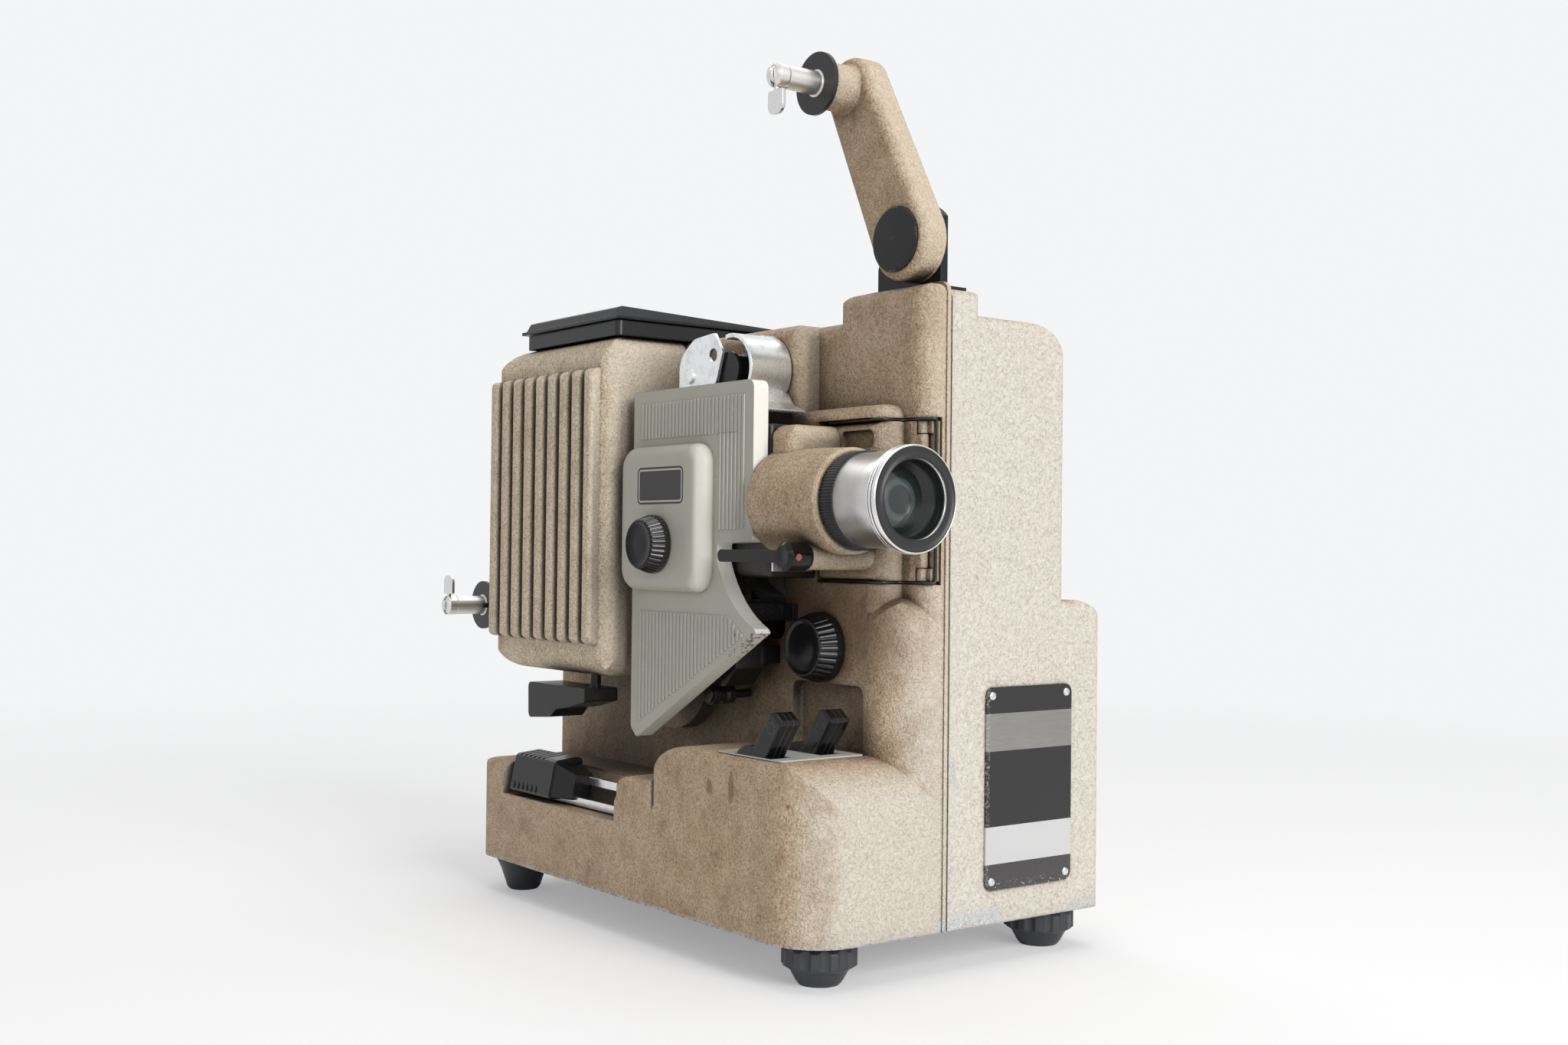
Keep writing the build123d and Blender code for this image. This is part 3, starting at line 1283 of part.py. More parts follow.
def motor_rotor():
    """Motor shaft with the small pulley and the cooling fan."""
    y_end = motor_front + motor_length
    shaft = rod_y(motor_x, motor_z, motor_shaft_radius, (pulley_y - 6, y_end + 14))
    rotor = shaft + grooved_pulley(motor_x, motor_z, motor_pulley_radius)
    rotor += rod_y(motor_x, motor_z, 6.0, (y_end + 3, y_end + 12))
    for index in range(fan_blades):
        blade = Pos(0, y_end + 7.5, fan_radius / 2 + 2) * Rot(0, 0, 35) * Box(9, 1.2, fan_radius - 5)
        rotor += Pos(motor_x, 0, motor_z) * Rot(0, 360 / fan_blades * index, 0) * blade
    return rotor


def all_parts():
    """Every sub-part by its name, in the frame of the drawing."""
    feed = arm_set(feed_pivot, feed_length, feed_lean, False)
    takeup = arm_set(takeup_pivot, takeup_length, takeup_lean, True)
    return {
        "film_side_casting": film_side_casting(),
        "drive_cover": drive_cover(),
        "bottom_plate": bottom_plate(),
        "cover_screws": cover_screws(),
        "mains_inlet": mains_inlet(),
        "voltage_selector": voltage_selector(),
        "front_plate": front_plate(),
        "plate_rivets": plate_rivets(),
        "lamp_house": lamp_house(),
        "condenser_lens": condenser_lens(),
        "projection_lamp": projection_lamp(),
        "lamp_socket": lamp_socket(),
        "lamp_reflector": lamp_reflector(),
        "lamp_lever": lamp_lever(),
        "cap_frame": cap_frame(),
        "cap_lid": cap_lid(),
        "lens_carrier": lens_carrier(),
        "carrier_hinge": carrier_hinge(),
        "pressure_plate": pressure_plate(),
        "lens_barrel": lens_barrel(),
        "lens_glasses": [lens_front_glass(), lens_rear_glass()],
        "zoom_ring": zoom_ring(),
        "gate_lever": gate_lever(),
        "gate_housing": gate_housing(),
        "aperture_plate": aperture_plate(),
        "film_door": film_door(),
        "door_box": door_box(),
        "framing_knob": framing_knob(),
        "inching_knob": inching_knob(),
        "outer_switch_lever": switch_lever(lever_x[0]),
        "inner_switch_lever": switch_lever(lever_x[1]),
        "lever_shaft": lever_shaft(),
        "lever_plate": lever_plate(),
        "speed_slider": speed_slider(),
        "slide_rails": slide_rails(),
        "upper_sprocket": sprocket(upper_sprocket_y, upper_sprocket_z),
        "upper_shoe": upper_shoe(),
        "upper_cheek": upper_cheek(),
        "lower_sprocket": sprocket(lower_sprocket_y, lower_sprocket_z),
        "lower_guide": lower_guide(),
        "lower_guard": [lower_guard(), lower_roller_pin()],
        "lower_roller": lower_roller(),
        "feed_bracket": [feed_bracket(), feed["disc"]],
        "feed_arm": feed["arm"],
        "feed_arm_strip": arm_strip(),
        "feed_spindle": feed["spindle"],
        "feed_latch": feed["latch"],
        "takeup_bracket": [takeup_bracket(), takeup["disc"]],
        "takeup_arm": takeup["arm"],
        "takeup_spindle": takeup["spindle"],
        "takeup_latch": takeup["latch"],
        "left_front_foot": front_foot(front_foot_x[0]),
        "right_front_foot": front_foot(front_foot_x[1]),
        "rear_feet": rear_feet(),
        "shutter": shutter(),
        "shutter_bearings": shutter_bearings(),
        "drive_belt": drive_belt(),
        "motor": motor(),
        "motor_rotor": motor_rotor(),
    }


def main():
    os.makedirs("parts", exist_ok=True)
    shapes = {}
    for name, shape in all_parts().items():
        pieces = shape if isinstance(shape, list) else [shape]
        shapes[name] = Compound([solid for piece in pieces for solid in piece.solids()])
    box = Compound([solid for shape in shapes.values() for solid in shape.solids()]).bounding_box()
    origin = ((box.min.X + box.max.X) / 2, (box.min.Y + box.max.Y) / 2, box.min.Z)
    print("origin of the row in the drawing:", [round(value, 4) for value in origin])
    for name, shape in shapes.items():
        export_step(Pos(-origin[0], -origin[1], -origin[2]) * shape, f"parts/{name}.step")


main()
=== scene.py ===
import math
import bmesh
import bpy
import numpy as np
from mathutils import Matrix, Vector


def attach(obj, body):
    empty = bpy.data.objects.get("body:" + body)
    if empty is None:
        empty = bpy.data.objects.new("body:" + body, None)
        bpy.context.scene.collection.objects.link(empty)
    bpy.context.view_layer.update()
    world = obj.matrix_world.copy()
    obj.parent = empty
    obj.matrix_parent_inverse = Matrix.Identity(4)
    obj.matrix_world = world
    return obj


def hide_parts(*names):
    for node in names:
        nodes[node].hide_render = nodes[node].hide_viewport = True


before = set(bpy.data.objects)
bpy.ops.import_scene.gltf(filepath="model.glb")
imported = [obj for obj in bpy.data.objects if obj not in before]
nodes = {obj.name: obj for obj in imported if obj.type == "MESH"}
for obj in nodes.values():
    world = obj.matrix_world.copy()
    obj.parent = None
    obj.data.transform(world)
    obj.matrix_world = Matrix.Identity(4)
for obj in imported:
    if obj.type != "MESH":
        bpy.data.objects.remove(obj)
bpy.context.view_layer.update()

drawingOrigin = (8.0, 135.1, -13.5)    # where the frame's origin lies in the drawing, mm
bpy.context.scene.view_settings.view_transform = "Standard"
print("stage: frame loaded,", len(nodes), "parts")


def metres(x, y, z):
    # a point of the drawing, in mm, as a point of the frame, in metres
    return tuple((v - o) / 1000 for v, o in zip((x, y, z), drawingOrigin))


# A small toolkit for shader sums.

class Field:
    # one output socket; sums on it add Math nodes
    def __init__(self, tree, socket):
        self.tree = tree
        self.socket = socket

    def math(self, operation, other=None):
        n = self.tree.nodes.new("ShaderNodeMath")
        n.operation = operation
        for k, value in enumerate((self, other)):
            if isinstance(value, Field):
                self.tree.links.new(value.socket, n.inputs[k])
            elif value is not None:
                n.inputs[k].default_value = float(value)
        return Field(self.tree, n.outputs[0])

    def flipped(self, operation, other):
        # the number comes first
        n = self.tree.nodes.new("ShaderNodeMath")
        n.operation = operation
        n.inputs[0].default_value = float(other)
        self.tree.links.new(self.socket, n.inputs[1])
        return Field(self.tree, n.outputs[0])

    def __add__(self, o): return self.math("ADD", o)
    def __radd__(self, o): return self.math("ADD", o)
    def __sub__(self, o): return self.math("SUBTRACT", o)
    def __rsub__(self, o): return self.flipped("SUBTRACT", o)
    def __mul__(self, o): return self.math("MULTIPLY", o)
    def __truediv__(self, o): return self.math("DIVIDE", o)
    def __pow__(self, o): return self.math("POWER", o)
    def __abs__(self): return self.math("ABSOLUTE")
    def low(self, o): return self.math("MINIMUM", o)
    def high(self, o): return self.math("MAXIMUM", o)
    # 1 on one side of an edge and 0 on the other, with a slope as wide as soft between them
    def above(self, edge, soft): return ((self - edge) / soft + 0.5).held()
    def below(self, edge, soft): return 1 - self.above(edge, soft)
    def within(self, a, b, soft): return self.above(a, soft) * self.below(b, soft)

    def held(self):
        # kept between 0 and 1
        f = self.math("ADD", 0.0)
        f.socket.node.use_clamp = True
        return f


class Finish:
    # a material on one Principled shader; fixed values go on its sockets
    def __init__(self, name, **fixed):
        self.mat = bpy.data.materials.new(name)
        self.mat.use_nodes = True
        self.tree = self.mat.node_tree
        self.shader = self.tree.nodes["Principled BSDF"]
        for key, value in fixed.items():
            socket = self.shader.inputs[key.replace("_", " ")]
            socket.default_value = (*value, 1.0) if isinstance(value, tuple) and len(value) == 3 else value
        self.coords = self.node("ShaderNodeTexCoord")

    def node(self, kind, settings=None, **values):
        # i0, i1 and so on name an input by its number; picked is the output taken from the node
        n = self.tree.nodes.new(kind)
        for key, value in (settings or {}).items():
            setattr(n, key, value)
        for key, value in values.items():
            socket = n.inputs[int(key[1:])] if key[0] == "i" and key[1:].isdigit() else n.inputs[key.replace("_", " ")]
            self.feed(socket, value)
        n["picked"] = 0
        return n

    def feed(self, socket, value):
        if isinstance(value, Field):
            self.tree.links.new(value.socket, socket)
        elif isinstance(value, bpy.types.Node):
            self.tree.links.new(value.outputs[value["picked"]], socket)
        elif isinstance(value, bpy.types.NodeSocket):
            self.tree.links.new(value, socket)
        elif socket.type == "RGBA" and len(value) == 3:
            socket.default_value = (*value, 1.0)
        else:
            socket.default_value = value

    def field(self, n):
        return Field(self.tree, n.outputs[0])

    def place(self, scale=(1, 1, 1), turn=(0, 0, 0), about=(0, 0, 0)):
        # the drawing's own millimetres, about a point, turned, then stretched
        shift = [o - a for o, a in zip(drawingOrigin, about)]
        mm = self.node("ShaderNodeMapping", Vector=self.coords.outputs["Object"], Location=shift,
                       Scale=(1000, 1000, 1000))
        if turn == (0, 0, 0) and scale == (1, 1, 1):
            return mm
        return self.node("ShaderNodeMapping", Vector=mm, Rotation=turn, Scale=scale)

    def axes(self, vector):
        n = self.node("ShaderNodeSeparateXYZ", Vector=vector)
        return [Field(self.tree, n.outputs[k]) for k in range(3)]

    def facing(self):
        # the surface's own direction, before any bump
        return self.axes(self.coords.outputs["Normal"])

    def noise(self, vector, size, detail=3.0, rough=0.55, distortion=0.0):
        # size is that of the largest lumps, mm
        return self.field(self.node("ShaderNodeTexNoise", Vector=vector, Scale=1 / size, Detail=detail,
                                    Roughness=rough, Distortion=distortion))

    def bent(self, vector, size, reach):
        # the same place, pushed about by soft noise
        n = self.node("ShaderNodeTexNoise", Vector=vector, Scale=1 / size, Detail=2.0)
        return self.node("ShaderNodeVectorMath", {"operation": "MULTIPLY_ADD"},
                         i0=n.outputs["Color"], i1=(reach,) * 3, i2=vector)

    def recess(self, reach):
        # 0 in the open, 1 deep in a corner
        n = self.node("ShaderNodeAmbientOcclusion", {"samples": 4}, Distance=reach / 1000)
        return 1 - Field(self.tree, n.outputs["AO"])

    def mix(self, factor, a, b):
        n = self.node("ShaderNodeMix", {"data_type": "RGBA", "blend_type": "MIX", "clamp_factor": True})
        self.feed(n.inputs[0], factor)
        self.feed(n.inputs[6], a)
        self.feed(n.inputs[7], b)
        n["picked"] = 2
        return n

    def bump(self, height, distance, strength=1.0, soft=None):
        # height is 0 to 1, distance in mm; soft is the radius that rounds the edges, mm
        n = self.node("ShaderNodeBump", Height=height, Distance=distance / 1000, Strength=strength)
        if soft:
            self.feed(n.inputs["Normal"], self.node("ShaderNodeBevel", {"samples": 4}, Radius=soft / 1000))
        return n

    def given(self, key):
        # the node that feeds a socket now
        return self.shader.inputs[key].links[0].from_node

    def wear(self, **varied):
        for key, value in varied.items():
            self.feed(self.shader.inputs[key.replace("_", " ")], value)
        return self.mat


def dress(names, mat):
    # the parts named, in one string, take the material
    for name in names.split():
        mesh = nodes[name].data
        mesh.materials.clear()
        mesh.materials.append(mat)


# Camera and studio.

camera = {"place": (-373.765, -403.392, 121.770),    # in the drawing, mm
          "right": (0.79553, -0.60582, 0.01084), "up": (-0.01883, -0.00683, 0.99980),
          "ahead": (0.60563, 0.79557, 0.01684),
          "pixels": 2219.23, "frame": 2048, "film": 36.0}    # focal length and width in pixels, film width in mm


def setCamera():
    data = bpy.data.cameras.new("camera")
    data.sensor_width = camera["film"]
    data.sensor_fit = "HORIZONTAL"
    data.lens = camera["film"] * camera["pixels"] / camera["frame"]
    data.clip_start = 0.01
    cam = bpy.data.objects.new("camera", data)
    bpy.context.scene.collection.objects.link(cam)
    turn = Matrix((camera["right"], camera["up"], [-v for v in camera["ahead"]])).transposed()
    cam.matrix_world = Matrix.Translation(metres(*camera["place"])) @ turn.to_4x4()
    bpy.context.scene.camera = cam


studio = {"sky": 0.36, "skySeen": 0.92, "skyGloss": 0.78,    # strength on the object, behind it and in its gloss
          "skyColour": (0.985, 0.99, 1.0, 1.0), "aimHeight": 0.12,
          "floor": 0.95, "floorReach": 2.6, "floorFade": (0.62, 0.95), "floorRings": 24, "floorTurns": 72,
          "paperWhite": 0.30, "paperTone": (0.95, 0.95, 0.965),    # share of plain white given to the camera
          "paperGrain": 60.0,
          # name, way from the object, distance, size, watts, colour
          "lights": [("key", (-0.04, -0.92, 0.36), 1.5, 0.8, 16.4, (1.0, 0.985, 0.96)),
                     ("top", (0.12, -0.05, 1.0), 1.5, 1.2, 8.0, (1.0, 1.0, 1.0)),
                     ("back", (0.15, 0.85, 0.80), 1.6, 0.9, 4.0, (1.0, 1.0, 1.0)),
                     ("left", (-0.85, -0.40, 0.40), 1.7, 0.6, 1.3, (0.97, 0.98, 1.0))]}


def softbox(name, way, distance, size, watts, colour):
    lamp = bpy.data.lights.new(name, "AREA")
    lamp.shape = "SQUARE"
    lamp.size = size
    lamp.energy = watts
    lamp.color = colour
    box = bpy.data.objects.new(name, lamp)
    bpy.context.scene.collection.objects.link(box)
    aim = Vector(way).normalized()
    box.location = Vector((0, 0, studio["aimHeight"])) + aim * distance
    box.rotation_euler = aim.to_track_quat("Z", "Y").to_euler()


def setStudio():
    world = bpy.data.worlds.new("studio")
    bpy.context.scene.world = world
    world.use_nodes = True
    tree = world.node_tree
    back = tree.nodes["Background"]
    path = tree.nodes.new("ShaderNodeLightPath")
    seen = Field(tree, path.outputs["Is Camera Ray"]).high(Field(tree, path.outputs["Is Transmission Ray"]))
    shine = Field(tree, path.outputs["Is Glossy Ray"]) * (1 - seen)
    strength = seen * (studio["skySeen"] - studio["sky"]) + shine * (studio["skyGloss"] - studio["sky"]) + studio["sky"]
    tree.links.new(strength.socket, back.inputs["Strength"])
    back.inputs["Color"].default_value = studio["skyColour"]
    for light in studio["lights"]:
        softbox(*light)
    # a round sheet of paper that thins out into the white around it: rings times the unit circle, on a middle point
    ringCount, turnCount = studio["floorRings"], studio["floorTurns"]
    rings = np.linspace(0.0, 1.0, ringCount + 1)[1:]
    turns = np.linspace(0.0, 2 * np.pi, turnCount + 1)[:-1]
    spread = (rings[:, None] * studio["floorReach"])[..., None] * np.stack((np.cos(turns), np.sin(turns)), -1)[None]
    points = np.concatenate((np.zeros((1, 3)), np.pad(spread.reshape(-1, 2), ((0, 0), (0, 1)))))
    ground = meshFrom("floor", *gridFaces(points, ringCount, turnCount, pole=True))
    f = Finish("paper", Roughness=0.8, Specular_IOR_Level=0.1)
    grain = f.noise(f.place(), studio["paperGrain"])
    tone = studio["floor"]
    x, y = f.axes(f.coords.outputs["Object"])[:2]
    away = (x * x + y * y).math("SQRT")
    solid = away.below(*studio["floorFade"]) ** 1.3
    f.wear(Base_Color=f.mix(grain, (tone * 0.985,) * 3, (tone, tone, tone * 1.005)), Alpha=solid)
    white = f.node("ShaderNodeEmission", Color=studio["paperTone"], Strength=1.0)
    cameraRay = f.field(f.node("ShaderNodeLightPath"))    # its first output
    blend = f.node("ShaderNodeMixShader", Fac=cameraRay * solid * studio["paperWhite"], i1=f.shader.outputs[0], i2=white)
    f.feed(f.tree.nodes["Material Output"].inputs["Surface"], blend)
    ground.data.materials.append(f.mat)


# Meshes from grids of points; rows run along, columns run round.

def gridFaces(points, rows, columns, pole=False):
    # quads between each row and the next, the last column joined to the first; pole is one point ahead of the rows
    start = 1 if pole else 0
    ids = start + np.arange(rows * columns).reshape(rows, columns)
    after = np.roll(ids, -1, axis=1)
    quads = np.stack((ids[:-1], ids[1:], after[1:], after[:-1]), -1).reshape(-1, 4)
    faces = quads.tolist()
    if pole:
        faces += np.stack((np.zeros(columns, int), ids[0], after[0]), -1).tolist()
    return points, faces


def framed(grid):
    # points of the drawing, in mm, as a plain list of the frame's points, in metres
    return (grid.reshape(-1, 3) - np.array(drawingOrigin)) / 1000


def facedOut(mesh, closeUp=False):
    # turn all faces outwards; closeUp first joins the points that lie together
    work = bmesh.new()
    work.from_mesh(mesh)
    if closeUp:
        bmesh.ops.remove_doubles(work, verts=work.verts, dist=1e-7)
        bmesh.ops.dissolve_degenerate(work, edges=work.edges, dist=1e-7)
    bmesh.ops.recalc_face_normals(work, faces=work.faces)
    work.to_mesh(mesh)
    work.free()


def meshFrom(name, points, faces, smooth=True):
    mesh = bpy.data.meshes.new(name)
    mesh.from_pydata(np.asarray(points).tolist(), [], faces)
    mesh.polygons.foreach_set("use_smooth", [smooth] * len(mesh.polygons))
    piece = bpy.data.objects.new(name, mesh)
    bpy.context.scene.collection.objects.link(piece)
    return piece


def bend(start, corner, end, t):
    # a parabola from start to end that leaves and arrives along the lines to the corner
    return (1 - t) ** 2 * start + 2 * t * (1 - t) * corner + t ** 2 * end


def roundedPath(corners, steps):
    # a line through corners (along, radius, rounding)
    path = np.array([c[:2] for c in corners], float)
    line = [path[0]]
    t = np.linspace(0, 1, steps + 1)[:, None]
    for k in range(1, len(path) - 1):
        back, ahead = path[k - 1] - path[k], path[k + 1] - path[k]
        reach = min(corners[k][2], 0.49 * np.hypot(*back), 0.49 * np.hypot(*ahead))
        if reach <= 0:
            line.append(path[k])
            continue
        start = path[k] + back / np.hypot(*back) * reach
        end = path[k] + ahead / np.hypot(*ahead) * reach
        line.extend(bend(start, path[k], end, t))
    line.append(path[-1])
    return np.array(line)


def turnedPiece(name, centre, along, line, columns, mats, bands=None, shape=None):
    # a turned body: each row of line, (along, radius), becomes centre + along * axis + radius * (cosine, sine) round it
    # bands gives each row's material; shape changes the two at each angle
    axis = Vector(along).normalized()
    side = Vector((0, 0, 1))
    other = axis.cross(side)
    angle = np.linspace(0, 2 * np.pi, columns, endpoint=False)[None, :]
    far = line[:, 0:1] + 0 * angle
    radius = line[:, 1:2] + 0 * angle
    if shape is not None:
        far, radius = shape(angle, far, radius)
    grid = (np.array(centre) + far[..., None] * np.array(axis)
            + (radius * np.cos(angle))[..., None] * np.array(side)
            + (radius * np.sin(angle))[..., None] * np.array(other))
    points, faces = gridFaces(framed(grid), len(line), columns)
    piece = meshFrom(name, points, faces)
    mesh = piece.data
    for mat in mats:
        mesh.materials.append(mat)
    if bands is not None:
        mesh.polygons.foreach_set("material_index", np.repeat(np.asarray(bands), columns).tolist())
    facedOut(mesh, closeUp=True)
    return piece


def stands(piece, node, body):
    # the piece moves with the body and is seen in the node's place
    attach(piece, body)
    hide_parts(node)


setCamera()
setStudio()
print("stage: camera and studio set")


# Paint of the castings: fine wrinkles, brown dirt in the low places and corners, painted shade in the corners and
# hollows, colour that follows the way a face is turned (partly painted shade and light), chips down to the metal.

paint = {"shade": (0.610, 0.462, 0.320), "cream": (0.625, 0.582, 0.505),    # browner film side and top, paler other faces: partly the paint's own colour, partly painted shade and painted light
         "speck": (0.125, 0.070, 0.032), "dirt": (0.235, 0.142, 0.070), "stain": (0.320, 0.205, 0.110),
         "hollowShade": (0.030, 0.020, 0.012), "pale": (0.70, 0.63, 0.52), "warm": (0.610, 0.475, 0.325),
         "wallShadow": (0.130, 0.075, 0.038), "run": (0.135, 0.060, 0.028), "black": (0.012, 0.010, 0.008),
         "rubbed": (0.60, 0.58, 0.53), "bead": (0.60, 0.52, 0.41),
         "bare": (0.42, 0.43, 0.45), "bright": (0.70, 0.70, 0.71),
         # sizes of the patterns and reach of the corners, mm
         "grain": 0.66, "pit": 0.85, "fold": 1.9, "grit": 0.30, "lump": 3.0, "blotch": 9.0, "cloud": 34.0, "scratch": 1.6,
         "corner": 13.0, "hollow": 45.0, "depth": 0.42, "edge": 1.2,
         # places on the film side: the slot's floor, the wall round the gate, where a painted shadow lies, and runs (y,
         # z, half width, half height)
         "slot": {"x": (-52.0, -34.5), "y": (110.5, 191.5), "z": (25.5, 35.0)},
         "wall": {"x": -12.0, "y": (6.0, 100.0), "z": (82.0, 113.0)},
         "runs": [(51.3, 44.9, 1.6, 2.4), (39.2, 46.0, 1.5, 5.2), (11.0, 43.3, 0.8, 0.8)], "runFace": -50.0,
         # bare patches of the front: the rubbed seam, a chip on it, and the lower edge on either side of the plate
         "seam": 2.2, "seamChip": (3.0, 50.5), "lowLeft": (-3.0, 26.0), "lowRight": 58.0}


def seamWear(f, tone, rim, fields):
    # what the two castings show beside their wrinkles: the slot's floor painted near black as shade, a painted shadow
    # of the carrier and lens on the wall round the gate, brown runs on the hump, and metal rubbed bare along the seam
    # and the lower edge
    x, y, z, ny, scratch, blotch = fields
    # the slot's inside painted near black: painted shade where the deep slot gets no light
    slot = (y.within(*paint["slot"]["y"], 0.5) * z.within(*paint["slot"]["z"], 0.6)
            * x.within(*paint["slot"]["x"], 0.6))
    tone = f.mix(slot * 0.93, tone, paint["black"])
    # painted shadow that the lens carrier and lens cast down over the wall round the gate, mottled
    shadowedWall = (y.within(*paint["wall"]["y"], 16.0) * z.within(*paint["wall"]["z"], 16.0)
               * x.below(paint["wall"]["x"], 6.0))
    tone = f.mix(shadowedWall * (0.45 + blotch * 0.4), tone, paint["wallShadow"])
    ragged = (scratch - 0.5) * 1.6
    runs = None
    for middleY, middleZ, wide, tall in paint["runs"]:
        out = (((y - middleY) / wide) ** 2 + ((z - middleZ) / tall) ** 2).math("SQRT") + ragged
        spot = out.below(1.0, 0.35) * x.below(paint["runFace"], 2.0)
        runs = spot if runs is None else runs.high(spot)
    tone = f.mix(runs * 0.55, tone, paint["run"])
    facing = (ny * -1).above(0.5, 0.2)
    near = abs(x - paint["seam"]).below(2.4, 0.8) * facing
    chipX, chipZ = paint["seamChip"]
    rim = rim.high(near * scratch.above(0.60, 0.03) * z.below(50.0, 40.0))
    rim = rim.high(abs(x - chipX).below(1.3, 0.6) * abs(z - chipZ).below(3.6, 1.5) * facing * scratch.above(0.46, 0.05))
    rim = rim.high(z.below(5.2, 2.5) * x.within(*paint["lowLeft"], 3.0) * facing * scratch.above(0.44, 0.05))
    rim = rim.high(z.below(4.2, 2.0) * x.above(paint["lowRight"], 3.0) * facing * scratch.above(0.47, 0.05))
    tone = f.mix(near * z.below(175.0, 40.0) * 0.30, tone, paint["rubbed"])
    tone = f.mix(abs(x).below(0.95, 0.4) * 0.5, tone, paint["bead"])
    return tone, rim


def wrinklePaint(name, large=1.0, seam=False, shade=paint["shade"], cream=paint["cream"], stainAndShade=1.0):
    # large stretches the wrinkles; the last argument scales the brown stains on the faces turned to −X and the dirt
    # with painted shade in the corners
    f = Finish(name, Specular_IOR_Level=0.3)
    mm = f.place()
    bent = f.bent(mm, 1.5, 0.6)
    fine = f.noise(bent, paint["grain"] * large, 2.6, 0.62, 0.4)
    pits = f.noise(mm, paint["pit"] * large, 3.0, 0.62)
    fold = abs(f.noise(bent, paint["fold"] * large ** 0.5, 2.6, 0.5, 0.5) - 0.5)
    crease = fold.below(0.036, 0.06)
    grit = f.noise(mm, paint["grit"], 2.0)
    lump = f.noise(mm, paint["lump"] * large, 2.5, 0.5)
    nx, ny = f.facing()[:2]
    x, y, z = f.axes(mm)
    broad = f.noise(mm, paint["cloud"], 3.0)
    blotch = f.noise(mm, paint["blotch"], 4.0, 0.62)
    scratch = f.noise(mm, paint["scratch"], 4.0, 0.7)
    # colour by the way a face is turned, partly painted shade and painted light: browner on the faces turned to −X or
    # up, paler cream on the others
    front = abs(ny).high(nx).above(0.62, 0.66)
    side = (nx * -1).above(0.25, 0.4)
    tone = f.mix(front, shade, cream)
    tone = f.mix(((broad - 0.47) * 2.4).held() * 0.30, tone, paint["pale"])
    if seam:
        warm = z.above(95.0, 80.0) * x.below(0.0, 1.0) * front
        tone = f.mix(warm * (0.35 + broad * 0.5), tone, paint["warm"])
    # specks of dirt in the low places of the wrinkles; brown in corners, partly blotchy dirt and partly painted shade,
    # weaker on the faces turned front; near black painted shade in deep hollows
    low = ((0.49 - fine).held() * 5.0 + (0.44 - pits).held() * 6.0 + crease * 0.42 + (grit - 0.56).held() * 1.5).held()
    # blotchy dirt, with painted shade where the corners are deep
    dirtAndShade = (f.recess(paint["corner"]) * 1.35 + (blotch - 0.55).held() * 2.2 - 0.16).held()
    # brown blotches on the faces turned to −X only
    tone = f.mix((blotch - 0.40).held() * side * (1.7 * stainAndShade), tone, paint["stain"])
    # specks of dirt in the low places of the wrinkles, made darker in corners and on the faces not turned front as
    # painted shade
    tone = f.mix((low * (0.66 - front * 0.30 + dirtAndShade * 0.35)).held(), tone, paint["speck"])
    tone = f.mix(dirtAndShade * (0.66 - front * 0.30) * stainAndShade, tone, paint["dirt"])
    # painted shade, near black, deep in wide hollows such as under the lamp house
    tone = f.mix(((f.recess(paint["hollow"]) - 0.29) * 2.2).held() * 0.94, tone, paint["hollowShade"])
    # bare metal on the lower rim and in chips
    rim = z.below(0.8, 1.2) * scratch.above(0.50, 0.08)
    if seam:
        tone, rim = seamWear(f, tone, rim, (x, y, z, ny, scratch, blotch))
    chip = scratch.above(0.735, 0.015) * blotch.above(0.55, 0.05)
    bare = rim.high(chip * 0.9).held()
    tone = f.mix(bare, tone, f.mix(grit.above(0.5, 0.2), paint["bare"], paint["bright"]))
    height = fine * 0.7 + pits * 0.3 + lump * 0.5 + fold.low(0.12) * 3.2 - bare * 0.3
    f.wear(Base_Color=tone, Roughness=(0.50 + fine * 0.22 - bare * 0.15).held(), Metallic=bare * 0.35,
           Normal=f.bump(height, paint["depth"], 0.9, paint["edge"]))
    return f.mat


filmPaint = wrinklePaint("filmSidePaint", seam=True)
dress("film_side_casting lens_carrier carrier_hinge feed_arm takeup_arm shutter_bearings", filmPaint)
dress("lamp_house", wrinklePaint("lampHousePaint", shade=(0.840, 0.715, 0.530), cream=(0.720, 0.640, 0.520), stainAndShade=0.5))
dress("drive_cover", wrinklePaint("coverPaint", large=1.5, seam=True, cream=(0.660, 0.622, 0.555)))

plastic = {"dust": (0.085, 0.08, 0.07), "dustSize": 0.9, "smearSize": 6.0, "scratchSize": 0.25, "drawn": (1, 0.08, 1),
           "corner": 2.5, "coatRough": 0.06}    # drawn stretches the scratches along y


def glossPlastic(name, tone, rough=0.16, dusty=1.0, soft=0.5, coat=0.08, shine=0.26):
    # moulded black, dusty in its corners; soft is the radius that rounds the edges
    f = Finish(name, Specular_IOR_Level=shine, Coat_Weight=coat, Coat_Roughness=plastic["coatRough"])
    mm = f.place()
    dust = f.noise(mm, plastic["dustSize"], 4.0)
    smear = f.noise(mm, plastic["smearSize"], 3.0)
    scratch = f.noise(f.place(scale=plastic["drawn"]), plastic["scratchSize"], 2.0)
    dull = ((dust - 0.60).held() * 1.2 + f.recess(plastic["corner"]) * 0.12) * dusty
    colour = f.mix(dull, tone, plastic["dust"])
    f.wear(Base_Color=colour, Roughness=(rough + smear * 0.18 + (scratch - 0.6).held() * 0.5).held(),
           Normal=f.bump(dust, 0.025, 0.35, soft))
    return f


